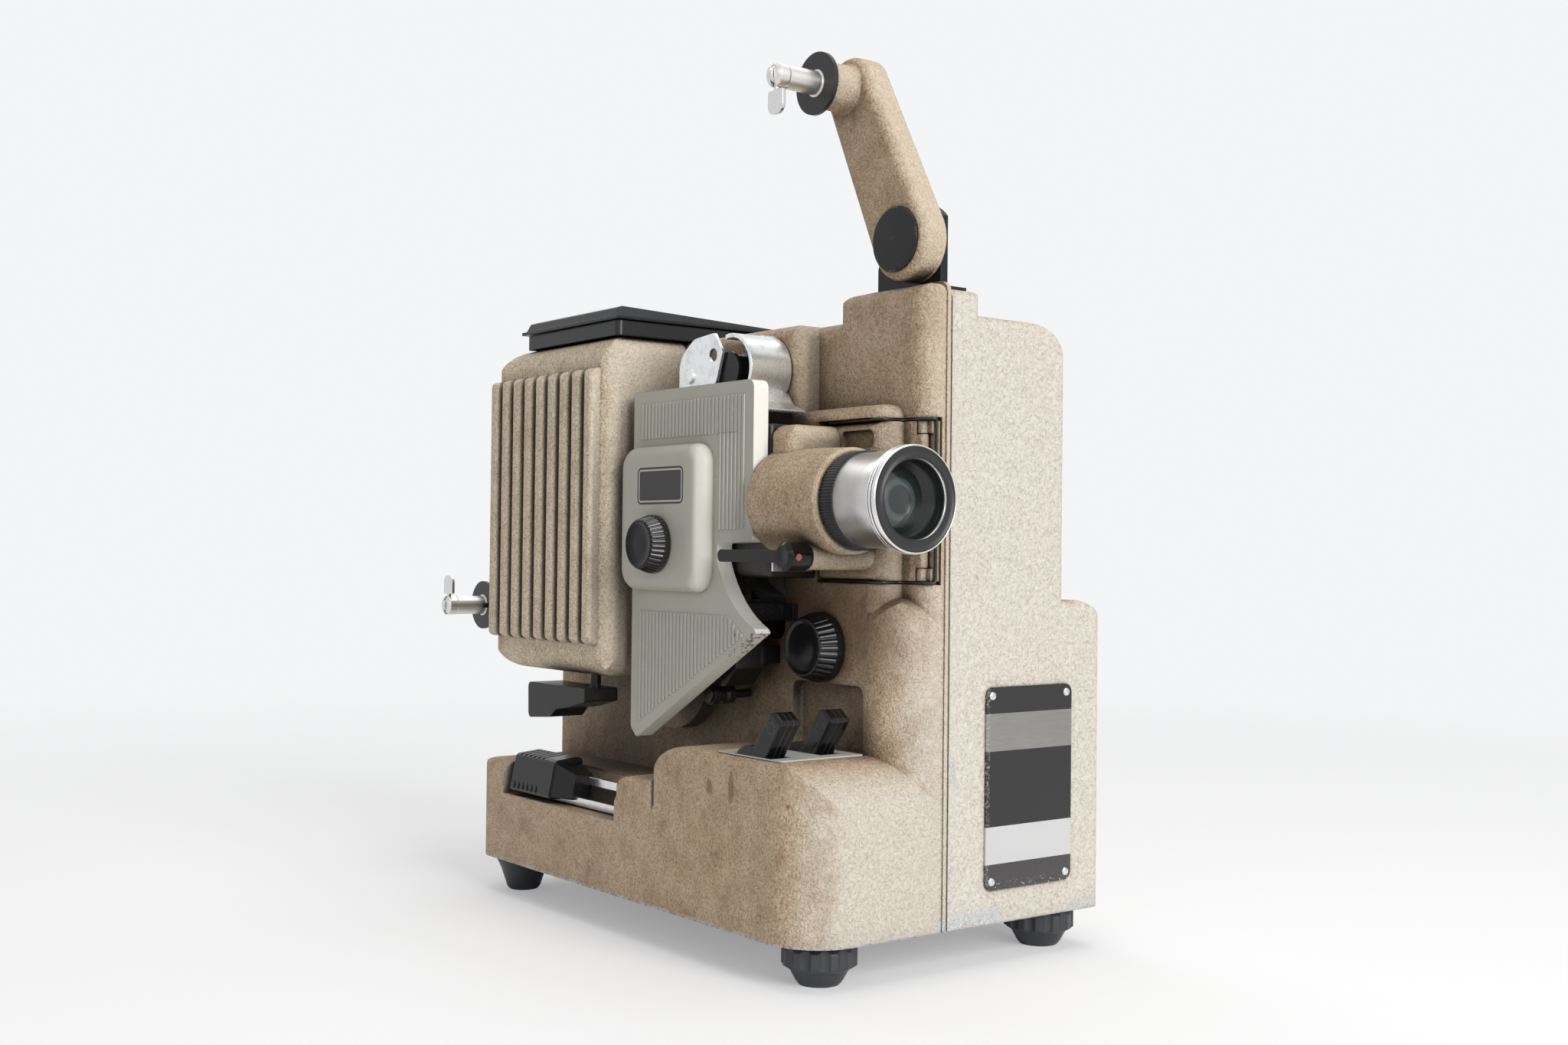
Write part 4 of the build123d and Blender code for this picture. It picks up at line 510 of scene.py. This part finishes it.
blackPlastic = glossPlastic("blackPlastic", (0.012, 0.012, 0.013)).mat
dress("speed_slider lamp_lever lower_guide lower_roller upper_sprocket lower_sprocket", blackPlastic)
dress("cap_lid cap_frame", glossPlastic("capPlastic", (0.012, 0.013, 0.015), 0.20, 0.6, 0.7, shine=0.36).mat)
blackMoulding = glossPlastic("blackMoulding", (0.018, 0.018, 0.018), 0.38).mat
dress("mains_inlet voltage_selector lamp_socket drive_belt", blackMoulding)
dress("feed_bracket takeup_bracket", glossPlastic("blackEnamel", (0.015, 0.015, 0.016), 0.12).mat)

redDot = {"x": -48.6, "z": 119.9, "front": 17.8, "size": 1.45, "ragged": 0.7, "colour": (0.33, 0.10, 0.055)}


def gateLeverFinish():
    # black, with a dot of brick-red on the hub
    f = glossPlastic("gateLeverPlastic", (0.006, 0.006, 0.007), 0.09, coat=0.3, shine=0.16)
    mm = f.place()
    x, y, z = f.axes(mm)
    ragged = f.noise(mm, 0.8, 3.0) * redDot["ragged"]
    out = ((x - redDot["x"]) ** 2 + (z - redDot["z"]) ** 2).math("SQRT") + ragged
    dot = out.below(redDot["size"], 0.25) * y.below(redDot["front"], 0.4)
    f.wear(Base_Color=f.mix(dot, f.given("Base Color"), redDot["colour"]))
    return f.mat


dress("gate_lever", gateLeverFinish())

# edge and front are painted light on the faces not turned sideways and on those turned front, corner is painted shade
# in the corners, and the box's front colour is painted light
ivory = {"dark": (0.415, 0.402, 0.343), "light": (0.482, 0.468, 0.403), "edge": (0.72, 0.70, 0.61),
         "front": (0.93, 0.925, 0.88), "boxLitFront": (0.80, 0.79, 0.72), "corner": (0.23, 0.21, 0.165),
         "dirt": (0.30, 0.25, 0.17), "worn": (0.10, 0.035, 0.018),
         "cloudSize": 25.0, "fineSize": 0.5, "dirtSize": 4.0, "wornSize": 1.2, "reach": 2.0, "wornBack": 58.0,
         "slant": (42.9, 94.8, 0.491, 0.871)}    # a point (y, z) of the door's slanting edge and the way square to it


def doorPlastic():
    f = Finish("doorPlastic", Specular_IOR_Level=0.45)
    mm = f.place()
    y, z = f.axes(mm)[1:]
    nx, ny = f.facing()[:2]
    broad = f.noise(mm, ivory["cloudSize"], 3.0)
    fine = f.noise(mm, ivory["fineSize"], 3.0)
    tone = f.mix((broad * 1.2 - 0.1).held(), ivory["dark"], ivory["light"])
    # painted light: faces not turned to ±X paler, faces turned front near white
    tone = f.mix((1 - abs(nx)).above(0.5, 0.4) * 0.6, tone, ivory["edge"])
    tone = f.mix((ny * -1).above(0.5, 0.4) * 0.7, tone, ivory["front"])
    # painted shade, darker in the corners
    tone = f.mix(f.recess(ivory["reach"]) * 0.55, tone, ivory["corner"])
    dirt = f.noise(mm, ivory["dirtSize"], 5.0, 0.7)
    tone = f.mix(((dirt - 0.62) * 2.5).held() * 0.3, tone, ivory["dirt"])
    # worn brown patches along the slanting lower edge, next to the pointed nub
    atY, atZ, wayY, wayZ = ivory["slant"]
    slant = abs((y - atY) * wayY + (z - atZ) * wayZ)
    patches = f.noise(mm, ivory["wornSize"], 4.0, 0.7).above(0.56, 0.05)
    tone = f.mix(slant.below(1.1, 0.6) * y.below(ivory["wornBack"], 14.0) * patches, tone, ivory["worn"])
    f.wear(Base_Color=tone, Roughness=(0.32 + fine * 0.12 + broad * 0.08).held(),
           Normal=f.bump(fine, 0.03, 0.5, 0.45))
    return f.mat


doorMat = doorPlastic()
dress("film_door", doorMat)

plated = {"dulled": 0.55, "stain": (0.20, 0.13, 0.07), "stainSize": 1.1, "fineSize": 0.35}


def bareMetal(name, tone, rough, mottle=0.25, metal=1.0, soft=0.4, cloudSize=3.5):
    # plated or plain metal; mottle is how cloudy and stained it has grown
    f = Finish(name, Metallic=metal)
    mm = f.place()
    cloud = f.noise(mm, cloudSize, 5.0, 0.65)
    fine = f.noise(mm, plated["fineSize"], 3.0)
    spots = f.noise(mm, plated["stainSize"], 3.0)
    dull = tuple(v * plated["dulled"] for v in tone)
    colour = f.mix(((cloud - 0.45) * 2.5).held() * mottle, tone, dull)
    colour = f.mix((spots - 0.68).held() * 2.5 * mottle, colour, plated["stain"])
    f.wear(Base_Color=colour, Roughness=(rough + cloud * 0.18 + fine * 0.08).held(),
           Normal=f.bump(fine + cloud * 0.5, 0.03, 0.5, soft))
    return f


chrome = bareMetal("chromePlate", (0.80, 0.80, 0.79), 0.08).mat
zinc = bareMetal("mottledPlate", (0.95, 0.98, 0.98), 0.14, 0.85, metal=0.92, cloudSize=4.5).mat
steel = bareMetal("sheetSteel", (0.52, 0.52, 0.53), 0.34, 0.5).mat
dress("cover_screws plate_rivets lamp_reflector pressure_plate aperture_plate", chrome)
dress("slide_rails feed_latch takeup_latch feed_arm_strip", chrome)
dress("upper_shoe upper_cheek", zinc)
dress("gate_housing lower_guard", bareMetal("darkSteel", (0.070, 0.067, 0.062), 0.30, 0.6).mat)
dress("bottom_plate lever_shaft shutter motor_rotor motor", steel)

# each arm: its pivot (y, z), its reach, and its lean from upright, in degrees
reels = {"feed": ((15.5, 224.0), 61.3, 26.5), "takeup": ((227.5, 96.5), 50.5, 90.0), "shaft": 4.6,
         "disc": (0.013, 0.012, 0.012)}


def spindleFinish(name, pivot, reach, lean):
    # satin shaft with a black disc behind it
    f = bareMetal(name, (0.78, 0.77, 0.74), 0.22, 0.15)
    y, z = f.axes(f.place())[1:]
    tipY = pivot[0] + reach * math.sin(math.radians(lean))
    tipZ = pivot[1] + reach * math.cos(math.radians(lean))
    disc = ((y - tipY) ** 2 + (z - tipZ) ** 2).math("SQRT").above(reels["shaft"], 0.2)
    f.wear(Base_Color=f.mix(disc, f.given("Base Color"), reels["disc"]), Metallic=1 - disc)
    return f.mat


dress("feed_spindle", spindleFinish("feedSpindle", *reels["feed"]))
dress("takeup_spindle", spindleFinish("takeupSpindle", *reels["takeup"]))


# Name plate on the front, left without any words: black, brushed and white bands.

plate = {"z": 44.45, "height": 66.5, "edges": (0.130, 0.316, 0.688, 0.872),    # middle, and the bands' edges as parts
         "silver": ((0.23, 0.225, 0.215), (0.36, 0.355, 0.335)), "white": ((0.50, 0.50, 0.505), (0.60, 0.60, 0.61)),
         "black": ((0.013, 0.013, 0.014), (0.05, 0.047, 0.047)), "dark": ((0.045, 0.043, 0.046), (0.09, 0.086, 0.09)),
         "soft": 0.12, "wornBelow": 13.6, "wornLeft": 18.2, "bare": (0.62, 0.60, 0.56),
         "drawn": (0.04, 1, 1), "brushSize": 0.22, "cloudSize": 14.0, "grainSize": 0.7, "chipSize": 0.9}


def plateFinish():
    # from the top: black, brushed silver, black, white, dark; rubbed bare along the lower and the left edge
    f = Finish("bandedPlate", Specular_IOR_Level=0.5)
    mm = f.place()
    x, z = f.axes(mm)[::2]
    top = plate["z"] + plate["height"] / 2
    cut = [top - plate["height"] * part for part in plate["edges"]]
    brush = f.noise(f.place(scale=plate["drawn"]), plate["brushSize"], 3.0)
    cloud = f.noise(mm, plate["cloudSize"], 3.0)
    silver = f.mix((brush * 0.8 + cloud * 0.4 - 0.1).held(), *plate["silver"])
    white = f.mix((brush * 0.5 + cloud * 0.4).held(), *plate["white"])
    grain = f.noise(mm, plate["grainSize"], 4.0)
    black = f.mix((grain - 0.5).held() * 0.8, *plate["black"])
    dark = f.mix((grain - 0.45).held() * 0.9, *plate["dark"])
    tone = f.mix(z.above(cut[0], plate["soft"]), silver, black)
    for edge, band in zip(cut[1:], (black, white, dark)):
        tone = f.mix(z.below(edge, plate["soft"]), tone, band)
    chips = f.noise(mm, plate["chipSize"], 4.0, 0.7)
    worn = z.below(plate["wornBelow"], 1.2) * chips.above(0.62, 0.03)
    worn = worn.high((x - plate["wornLeft"]).below(0.35, 0.3) * chips.above(0.56, 0.1) * 0.45)
    tone = f.mix(worn.held(), tone, plate["bare"])
    metal = (z.within(cut[1], cut[0], plate["soft"]) * 0.75).held()
    f.wear(Base_Color=tone, Metallic=metal, Roughness=(0.30 + brush * 0.15 + chips * 0.08).held(),
           Normal=f.bump(brush, 0.012, 0.4, 0.3))
    return f.mat


dress("front_plate", plateFinish())
dress("lever_plate", bareMetal("leverPlate", (0.56, 0.56, 0.52), 0.40, 0.3, 0.0).mat)

feet = {"clean": (0.034, 0.037, 0.042), "dusty": (0.085, 0.092, 0.10), "dustSize": 0.8}


def rubber():
    # soft black, greyed in patches by dust
    f = Finish("footRubber", Specular_IOR_Level=0.5)
    mm = f.place()
    dust = f.noise(mm, feet["dustSize"], 4.0)
    colour = f.mix(((dust - 0.5) * 2).held() * 0.5, feet["clean"], feet["dusty"])
    f.wear(Base_Color=colour, Roughness=(0.26 + dust * 0.25).held(), Normal=f.bump(dust, 0.05, 0.5, 0.8))
    return f.mat


dress("left_front_foot right_front_foot rear_feet", rubber())

glass = {"rough": 0.02, "bends": 1.5, "dustSize": 2.0, "dimmed": 0.93}


def clearGlass(name, tone):
    # dimmed in patches by a thin film of dust
    f = Finish(name, Roughness=glass["rough"], Transmission_Weight=1.0, IOR=glass["bends"])
    dust = f.noise(f.place(), glass["dustSize"], 4.0)
    dim = tuple(v * glass["dimmed"] for v in tone)
    f.wear(Base_Color=f.mix(dust, tone, dim), Normal=f.bump(dust, 0.005, 0.2))
    return f.mat


dress("condenser_lens", clearGlass("opticalGlass", (0.80, 0.90, 0.86)))

lensMiddle = (-31.0, 0.0, 137.9)    # the lens's axis, at the front face
coated = {"clear": (0.012, 0.016, 0.016), "ring": (0.055, 0.070, 0.068), "reach": (4.6, 6.6),
          "dust": (0.20, 0.20, 0.19), "dustSize": 0.7}


def darkGlass():
    # coated glass over a black tube: nothing shows through; painted near black with a painted greenish reflection ring
    # round the middle, and soft reflections from the coat
    f = Finish("coatedGlass", Specular_IOR_Level=0.6, Coat_Weight=0.6, Coat_Roughness=0.12)
    x, z = f.axes(f.place(about=lensMiddle))[::2]
    out = (x * x + z * z).math("SQRT")
    dust = f.noise(f.place(), coated["dustSize"], 4.0)
    # painted reflection: a paler greenish ring round the middle of the glass
    tone = f.mix(out.within(*coated["reach"], 0.9), coated["clear"], coated["ring"])
    tone = f.mix((dust - 0.62).held() * 1.5, tone, coated["dust"])
    f.wear(Base_Color=tone, Roughness=(0.10 + dust * 0.12).held(), Normal=f.bump(dust, 0.006, 0.3))
    return f.mat


dress("lens_glasses", darkGlass())
dress("projection_lamp", clearGlass("lampGlass", (0.95, 0.95, 0.93)))
print("stage: finishes on")


# Knobs: ridges round the rim, a sunk glossy face inside a raised lip.

framing = {"centre": (0, 94.5, 123.7), "seat": 51.3, "height": 7.0, "radius": 10.2, "ridges": 32, "lip": 1.6, "dish": 0.9}
inching = {"centre": (0, 41.0, 89.9), "seat": 18.8, "height": 9.0, "radius": 11.8, "ridges": 30, "lip": 1.9, "dish": 1.3}
ridgeDepth = 0.62
knobTone = (0.007, 0.007, 0.008)


def knobPiece(name, node, body, knob, mat):
    seat, height, radius, lip, dish = (knob[key] for key in ("seat", "height", "radius", "lip", "dish"))
    tip = seat + height
    line = roundedPath([(seat, 2.0, 0), (seat, radius, 0.2), (seat + height * 0.30, radius, 0.5),
                        (tip - 0.5, radius - lip, 0.8), (tip, radius - lip - 0.7, 0.4),
                        (tip - dish * 0.6, radius - lip - 1.8, 0.5), (tip - dish, radius * 0.45, 2.0),
                        (tip - dish * 0.9, 0.0, 0)], 5)
    rimStart, rimEnd = seat + height * 0.12, tip - 0.1

    def ridge(angle, far, r):
        # cut into the rim, deepest half way up and none on the face: 1 - |sin|^0.7 of the angle gives sharp valleys
        part = np.clip((far - rimStart) / (rimEnd - rimStart), 0, 1)
        onRim = np.clip((r - (radius - lip - 1.2)) / 0.9, 0, 1)
        depth = ridgeDepth * np.sin(np.pi * part) ** 0.35 * onRim
        wave = 1 - np.abs(np.sin(angle * knob["ridges"] / 2)) ** 0.7
        return far, r - depth * wave

    piece = turnedPiece(name, knob["centre"], (-1, 0, 0), line, knob["ridges"] * 12, [mat], shape=ridge)
    stands(piece, node, body)


def knobFinish():
    # a coat that shines only on the rim, where it looks forward
    f = glossPlastic("knobPlastic", knobTone, 0.10, 0.4, None, shine=0.20)
    nx, ny = f.facing()[:2]
    return f.wear(Coat_Weight=(1 - abs(nx)).above(0.45, 0.3) * (ny * -1).above(0.1, 0.6) * 0.9)


knobPiece("framingKnob", "framing_knob", "framing", framing, knobFinish())
knobPiece("inchingKnob", "inching_knob", "inching", inching,
          glossPlastic("inchingPlastic", knobTone, 0.14, 0.5, None, 0.1, 0.35).mat)
print("stage: knobs made")


# Lens: bright rim with two fine grooves, black face ring, stepped black bore, brushed barrel, ribbed ring.

# radii, and places along the axis from the front face, mm; the grooves from the front of the rim
lens = {"centre": lensMiddle, "front": -19.1, "rim": 16.8, "mouth": 12.25, "bore": 10.8, "barrel": 15.0, "ringEnd": -14.6,
        "barrelEnd": 2.8, "tube": 13.0, "tubeEnd": 31.8, "stop": 3.2, "deep": 13.0, "wall": 1.5, "groove": 0.5,
        "metal": ((0.80, 0.795, 0.78), (0.56, 0.555, 0.54), (0.28, 0.26, 0.24)),    # light, dull, specks
        "dust": (0.20, 0.20, 0.20), "turnSize": 0.10, "cloudSize": 4.0, "speckSize": 0.5, "dustSize": 0.45}
zoom = {"gap": 0.1, "length": 5.8, "radius": 15.75, "ribs": 96, "depth": 0.42}


def brushedBarrel():
    # turned aluminium, brushed round the axis, so light runs along it in soft streaks
    f = Finish("turnedBarrel", Metallic=1.0, Anisotropic=0.6)
    mm = f.place(about=lens["centre"])
    x, y, z = f.axes(mm)
    turned = f.node("ShaderNodeCombineXYZ", X=(x * x + z * z).math("SQRT"), Y=y)
    groove = f.noise(turned, lens["turnSize"], 4.0, 0.7)
    cloud = f.noise(mm, lens["cloudSize"], 4.0)
    specks = f.noise(mm, lens["speckSize"], 3.0)
    light, dull, dark = lens["metal"]
    tone = f.mix((cloud * 0.9).held(), light, dull)
    tone = f.mix((specks - 0.70).held() * 2.0, tone, dark)
    f.wear(Base_Color=tone, Roughness=(0.30 + groove * 0.18).held(), Normal=f.bump(groove, 0.02, 0.6))
    return f.mat


def satinBlack(name, tone, rough):
    # black with fine grey dust on it
    f = Finish(name, Specular_IOR_Level=0.5)
    dust = f.noise(f.place(), lens["dustSize"], 4.0)
    f.wear(Base_Color=f.mix((dust - 0.64).held() * 1.6, tone, lens["dust"]), Roughness=(rough + dust * 0.15).held(),
           Normal=f.bump(dust, 0.01, 0.3))
    return f.mat


def lensBarrelPiece():
    front, rim, mouth, bore, barrel = (lens[key] for key in ("front", "rim", "mouth", "bore", "barrel"))
    ringEnd, barrelEnd, tube, tubeEnd, stop = (lens[key] for key in ("ringEnd", "barrelEnd", "tube", "tubeEnd", "stop"))
    deep, inner, sunk = front + lens["deep"], bore - lens["wall"], rim - lens["groove"]
    boreLine = [(deep, inner, 0), (deep, bore, 0), (front + 8.0, bore, 0), (front + 8.0, bore + 0.5, 0),
                (front + 6.4, bore + 0.5, 0), (front + 6.4, bore + 0.9, 0), (front + 2.6, mouth - 0.3, 0)]
    faceLine = [(front + 1.0, mouth - 0.1, 0.1), (front + 0.9, mouth + 0.2, 0), (front + 0.15, mouth + 0.35, 0.1),
                (front + 0.45, mouth + 0.45, 0), (front + 0.35, rim - 0.75, 0), (front + 0.05, rim - 0.62, 0)]
    rimLine = [(front, rim - 0.35, 0.2), (front + 0.5, rim, 0.3), (front + 1.5, rim, 0.1),
               (front + 1.55, sunk, 0), (front + 1.95, sunk, 0), (front + 2.0, rim, 0.1),
               (front + 2.9, rim, 0.1), (front + 2.95, sunk, 0), (front + 3.3, sunk, 0),
               (front + 3.4, rim - 0.1, 0.1), (front + 4.1, rim - 0.2, 0.2)]
    backLine = [(ringEnd, barrel + 0.3, 0.3), (ringEnd + 0.5, barrel, 0.2), (barrelEnd, barrel, 0),
                (barrelEnd, tube, 0), (tubeEnd, tube, 0), (tubeEnd, stop, 0), (tubeEnd - 0.8, stop, 0),
                (tubeEnd - 0.8, inner, 0), (deep, inner, 0)]
    line = roundedPath(boreLine + faceLine + rimLine + backLine, 3)
    # which material each step of the outline has: 0 rim and tube, 1 bore and grooves, 2 face, 3 brushed barrel
    middle = (line[:-1] + line[1:]) / 2
    far, radius = middle[:, 0] - front, middle[:, 1]
    bands = np.zeros(len(middle), int)
    bands[radius < mouth + 0.12] = 1
    bands[(far < 0.6) & (radius > mouth + 0.34) & (radius < rim - 0.64)] = 2
    bands[(far > 1.5) & (far < 3.5) & (radius < rim - 0.2) & (radius > mouth + 1)] = 1
    bands[(far > 4.6) & (far < 22.1) & (radius > tube + 0.5)] = 3
    mats = [bareMetal("lensRim", (0.83, 0.83, 0.82), 0.10, 0.1, soft=None).mat,
            satinBlack("boreBlack", (0.012, 0.013, 0.013), 0.22),
            satinBlack("faceBlack", (0.014, 0.014, 0.015), 0.34), brushedBarrel()]
    piece = turnedPiece("lensBarrel", lens["centre"], (0, 1, 0), line, 160, mats, bands)
    stands(piece, "lens_barrel", "lens")


def zoomRingPiece():
    start = lens["barrelEnd"] + zoom["gap"]
    end = start + zoom["length"]
    rim, inner = zoom["radius"], lens["tube"] + 0.05
    line = roundedPath([(start, inner, 0), (start, rim - 0.4, 0), (start + 0.5, rim, 0.2), (end - 0.5, rim, 0.2),
                        (end, rim - 0.4, 0), (end, inner, 0), (start, inner, 0)], 3)

    def ribs(angle, far, radius):
        # narrow raised ribs with flat tops: a sine of the angle, stretched and cut off at 0 and 1
        onRim = np.clip((radius - rim + 0.6) / 0.3, 0, 1)
        wave = np.clip(0.5 + 1.6 * np.sin(angle * zoom["ribs"]), 0, 1)
        return far, radius - zoom["depth"] * onRim * (1 - wave)

    piece = turnedPiece("zoomRing", lens["centre"], (0, 1, 0), line, zoom["ribs"] * 8,
                        [satinBlack("ringBlack", (0.008, 0.008, 0.009), 0.26)], shape=ribs)
    stands(piece, "zoom_ring", "zoom")


lensBarrelPiece()
zoomRingPiece()
print("stage: lens made")


# Black seal in the seam round the lens carrier: across the top, down the front and back along the bottom.

seal = {"top": 164.8, "bottom": 112.0, "radius": 0.52, "corner": 2.6, "sides": 12, "tone": (0.014, 0.014, 0.014),
        # (x, y) on the way to the front, the same above and below
        "run": [(-17.5, 40.0), (-17.5, 12.9), (-8.3, 12.9), (-8.3, 3.4), (-6.0, 0.75), (-4.8, 0.75)]}


def roundedRoute(corners, reach, steps=6):
    # a line through corners in space, all rounded alike
    path = np.array(corners, float)
    line = [path[0]]
    t = np.linspace(0, 1, steps + 1)[:, None]
    for k in range(1, len(path) - 1):
        back, ahead = path[k - 1] - path[k], path[k + 1] - path[k]
        start, end = (path[k] + way / np.linalg.norm(way) * min(reach, 0.49 * np.linalg.norm(way))
                      for way in (back, ahead))
        line.extend(bend(start, path[k], end, t))
    line.append(path[-1])
    return np.array(line)


def tubePiece(name, line, radius, sides, mat):
    # a tube along a line of points, its ends closed: line + radius * (cosine, sine) on two ways square to the line
    along = np.gradient(line, axis=0)
    along /= np.linalg.norm(along, axis=1, keepdims=True)
    first = np.cross(along, (0.31, 0.55, 0.77))
    first /= np.linalg.norm(first, axis=1, keepdims=True)
    second = np.cross(along, first)
    angle = np.linspace(0, 2 * np.pi, sides, endpoint=False)[None, :, None]
    grid = line[:, None] + radius * (np.cos(angle) * first[:, None] + np.sin(angle) * second[:, None])
    points, faces = gridFaces(framed(grid), len(line), sides)
    faces += [list(range(sides)), list(range((len(line) - 1) * sides, len(line) * sides))]
    piece = meshFrom(name, points, faces)
    facedOut(piece.data)
    piece.data.materials.append(mat)
    return piece


def sealPiece():
    over = [(x, y, seal["top"]) for x, y in seal["run"]]
    under = [(x, y, seal["bottom"]) for x, y in reversed(seal["run"])]
    line = roundedRoute(over + under, seal["corner"])
    piece = tubePiece("carrierSeal", line, seal["radius"], seal["sides"], satinBlack("sealBlack", seal["tone"], 0.25))
    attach(piece, "chassis")


sealPiece()
print("stage: seal laid")


# Raised box of the door, its corners softly rounded, with a bare badge place.

box = {"x": (-51.0, -45.0), "y": (68.0, 119.6), "z": (107.4, 158.3), "edge": 4.6, "corner": 7.5, "sides": 128,
       "dirt": (0.32, 0.28, 0.20), "cloudSize": 22.0}
badge = {"y": (77.6, 106.4), "z": (137.6, 150.6), "corner": 2.2, "face": -50.3, "tone": (0.022, 0.022, 0.022),
         "line": (-1.35, -0.75), "lineTone": (0.50, 0.49, 0.45)}    # the line lies inside the badge's edge


def boxFinish():
    f = Finish("boxPlastic", Specular_IOR_Level=0.45)
    mm = f.place()
    x, y, z = f.axes(mm)
    forward = f.facing()[1] * -1
    broad = f.noise(mm, box["cloudSize"], 3.0)
    fine = f.noise(mm, ivory["fineSize"], 3.0)
    tone = f.mix((broad * 1.2 - 0.1).held(), ivory["dark"], ivory["light"])
    # painted light: the faces turned front paler
    tone = f.mix(forward.above(0.25, 0.5) * 0.8, tone, ivory["boxLitFront"])
    dirt = f.noise(mm, ivory["dirtSize"], 5.0, 0.7)
    tone = f.mix(((dirt - 0.6) * 2.5).held() * 0.3, tone, box["dirt"])
    # how far a place lies outside the badge, a rounded oblong: the distance past its shrunk half sizes, less the rounding
    past = []
    for place, (low, high) in ((y, badge["y"]), (z, badge["z"])):
        past.append((abs(place - (low + high) / 2) - (high - low) / 2 + badge["corner"]).high(0))
    out = (past[0] * past[0] + past[1] * past[1]).math("SQRT") - badge["corner"]
    face = x.below(badge["face"], 0.3)
    inside = out.below(0.0, 0.12) * face
    tone = f.mix(inside, tone, badge["tone"])
    tone = f.mix(out.within(*badge["line"], 0.12) * face, tone, badge["lineTone"])
    f.wear(Base_Color=tone, Roughness=(0.32 + fine * 0.12 + broad * 0.08 - inside * 0.08).held(),
           Normal=f.bump(fine * 0.15 + out.below(-0.1, 0.4) * face, 0.12, 0.8))
    return f.mat


def boxPiece():
    # rings of a rounded oblong; going in and up they follow a quarter circle over the edge, then run flat to the middle
    sides, deep = box["sides"], box["x"][1] - box["x"][0]
    angle = np.linspace(0, 2 * np.pi, sides, endpoint=False)
    halfY, halfZ = (box["y"][1] - box["y"][0]) / 2, (box["z"][1] - box["z"][0]) / 2
    midY, midZ = (box["y"][0] + box["y"][1]) / 2, (box["z"][0] + box["z"][1]) / 2
    bendTo = np.linspace(0, np.pi / 2, 9)
    inset = np.concatenate(([0.0], box["edge"] * (1 - np.cos(bendTo)), [box["edge"] + 4.0, box["edge"] + 10.0]))
    rise = np.concatenate(([0.0], deep - box["edge"] + box["edge"] * np.sin(bendTo), [deep, deep]))

    def ring(shrink, lift):
        # a quarter circle about each corner's own middle, by the signs of cosine and sine
        corner = max(box["corner"] - shrink * 0.75, 1.2)
        y = midY + np.sign(np.cos(angle)) * (halfY - shrink - corner) + corner * np.cos(angle)
        z = midZ + np.sign(np.sin(angle)) * (halfZ - shrink - corner) + corner * np.sin(angle)
        return np.stack((np.full(sides, box["x"][1] - lift), y, z), -1)

    rings = np.stack([ring(s, h) for s, h in zip(inset, rise)])
    rows = len(rings)
    points, faces = gridFaces(framed(rings), rows, sides)
    faces.append(list(range((rows - 1) * sides, rows * sides)))
    faces.append(list(range(sides))[::-1])
    piece = meshFrom("doorBox", points, faces)
    facedOut(piece.data)
    piece.data.materials.append(boxFinish())
    stands(piece, "door_box", "cover_door")


boxPiece()

# Moulded ribs of the door between its box and its front edge, in step with those above.

doorRibs = {"first": 55.4, "pitch": 2.2, "count": 5, "z": (128.8, 161.3), "half": 0.55, "proud": 0.45, "face": -45.0,
            "bevel": 0.15, "root": 0.4}    # root is how deep a rib stands in the door


def doorRibsPiece():
    # each rib is a bar whose outline is carried up; its two long edges are cut at a slant
    c = doorRibs
    half, proud, bevel, root = c["half"], c["proud"], c["bevel"], c["root"]
    across = np.array((-half, -half, bevel - half, half - bevel, half, half))
    out = np.array((root, bevel - proud, -proud, -proud, bevel - proud, root))
    points, faces = [], []
    for k in range(c["count"]):
        start = 12 * k
        y = c["first"] + c["pitch"] * k + across
        bar = np.stack([np.stack((c["face"] + out, y, np.full(6, z)), -1) for z in c["z"]])
        points.append(framed(bar))
        sides = gridFaces(None, 2, 6)[1] + [list(range(6)), list(range(6, 12))[::-1]]
        faces += [[start + i for i in face] for face in sides]
    piece = meshFrom("doorRibs", np.concatenate(points), faces, smooth=False)
    facedOut(piece.data)
    piece.data.materials.append(doorMat)
    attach(piece, "cover_door")


doorRibsPiece()
print("stage: door box made")


# Switch levers: round-topped paddles with a moulded line down the middle of each side and a small ring mark.

levers = {"y": 35.0, "z": 50.85, "lean": 36.0, "middle": -39.0, "apart": 10.0,    # apart is each one's x from the middle
          "ringUp": 19.0, "ringRadius": 1.9, "lines": (2.4, 2.8), "linesUp": (4.0, 22.0), "ridges": (0.9, 1.3),
          "tone": (0.006, 0.006, 0.007), "carved": (0.10, 0.10, 0.10)}


def leverFinish():
    # carved on each side: a ring mark and two lines beside the middle; on each edge: a line either side of the middle
    f = glossPlastic("leverPlastic", levers["tone"], 0.10, 0.5, 0.9, coat=0.3, shine=0.2)
    mm = f.place(about=(0, levers["y"], levers["z"]), turn=(math.radians(-levers["lean"]), 0, 0))
    x, across, up = f.axes(mm)
    flank = abs(f.facing()[0])
    onSide, onEdge = flank.above(0.8, 0.2), (1 - flank).above(0.8, 0.2)
    ring = (across ** 2 + (up - levers["ringUp"]) ** 2).math("SQRT") - levers["ringRadius"]
    mark = abs(ring).below(0.22, 0.2) * onSide
    side = abs(across).within(*levers["lines"], 0.2) * onSide * up.within(*levers["linesUp"], 0.5)
    line = abs(abs(x - levers["middle"]) - levers["apart"]).within(*levers["ridges"], 0.2) * onEdge
    carved = mark.high(side).high(line)
    dust = f.noise(mm, plastic["dustSize"], 4.0)
    f.wear(Normal=f.bump((1 - carved) + dust * 0.05, 0.35, 1.0, 0.9))
    f.wear(Base_Color=f.mix(carved * 0.35, f.given("Base Color"), levers["carved"]))
    return f.mat


dress("outer_switch_lever inner_switch_lever", leverFinish())
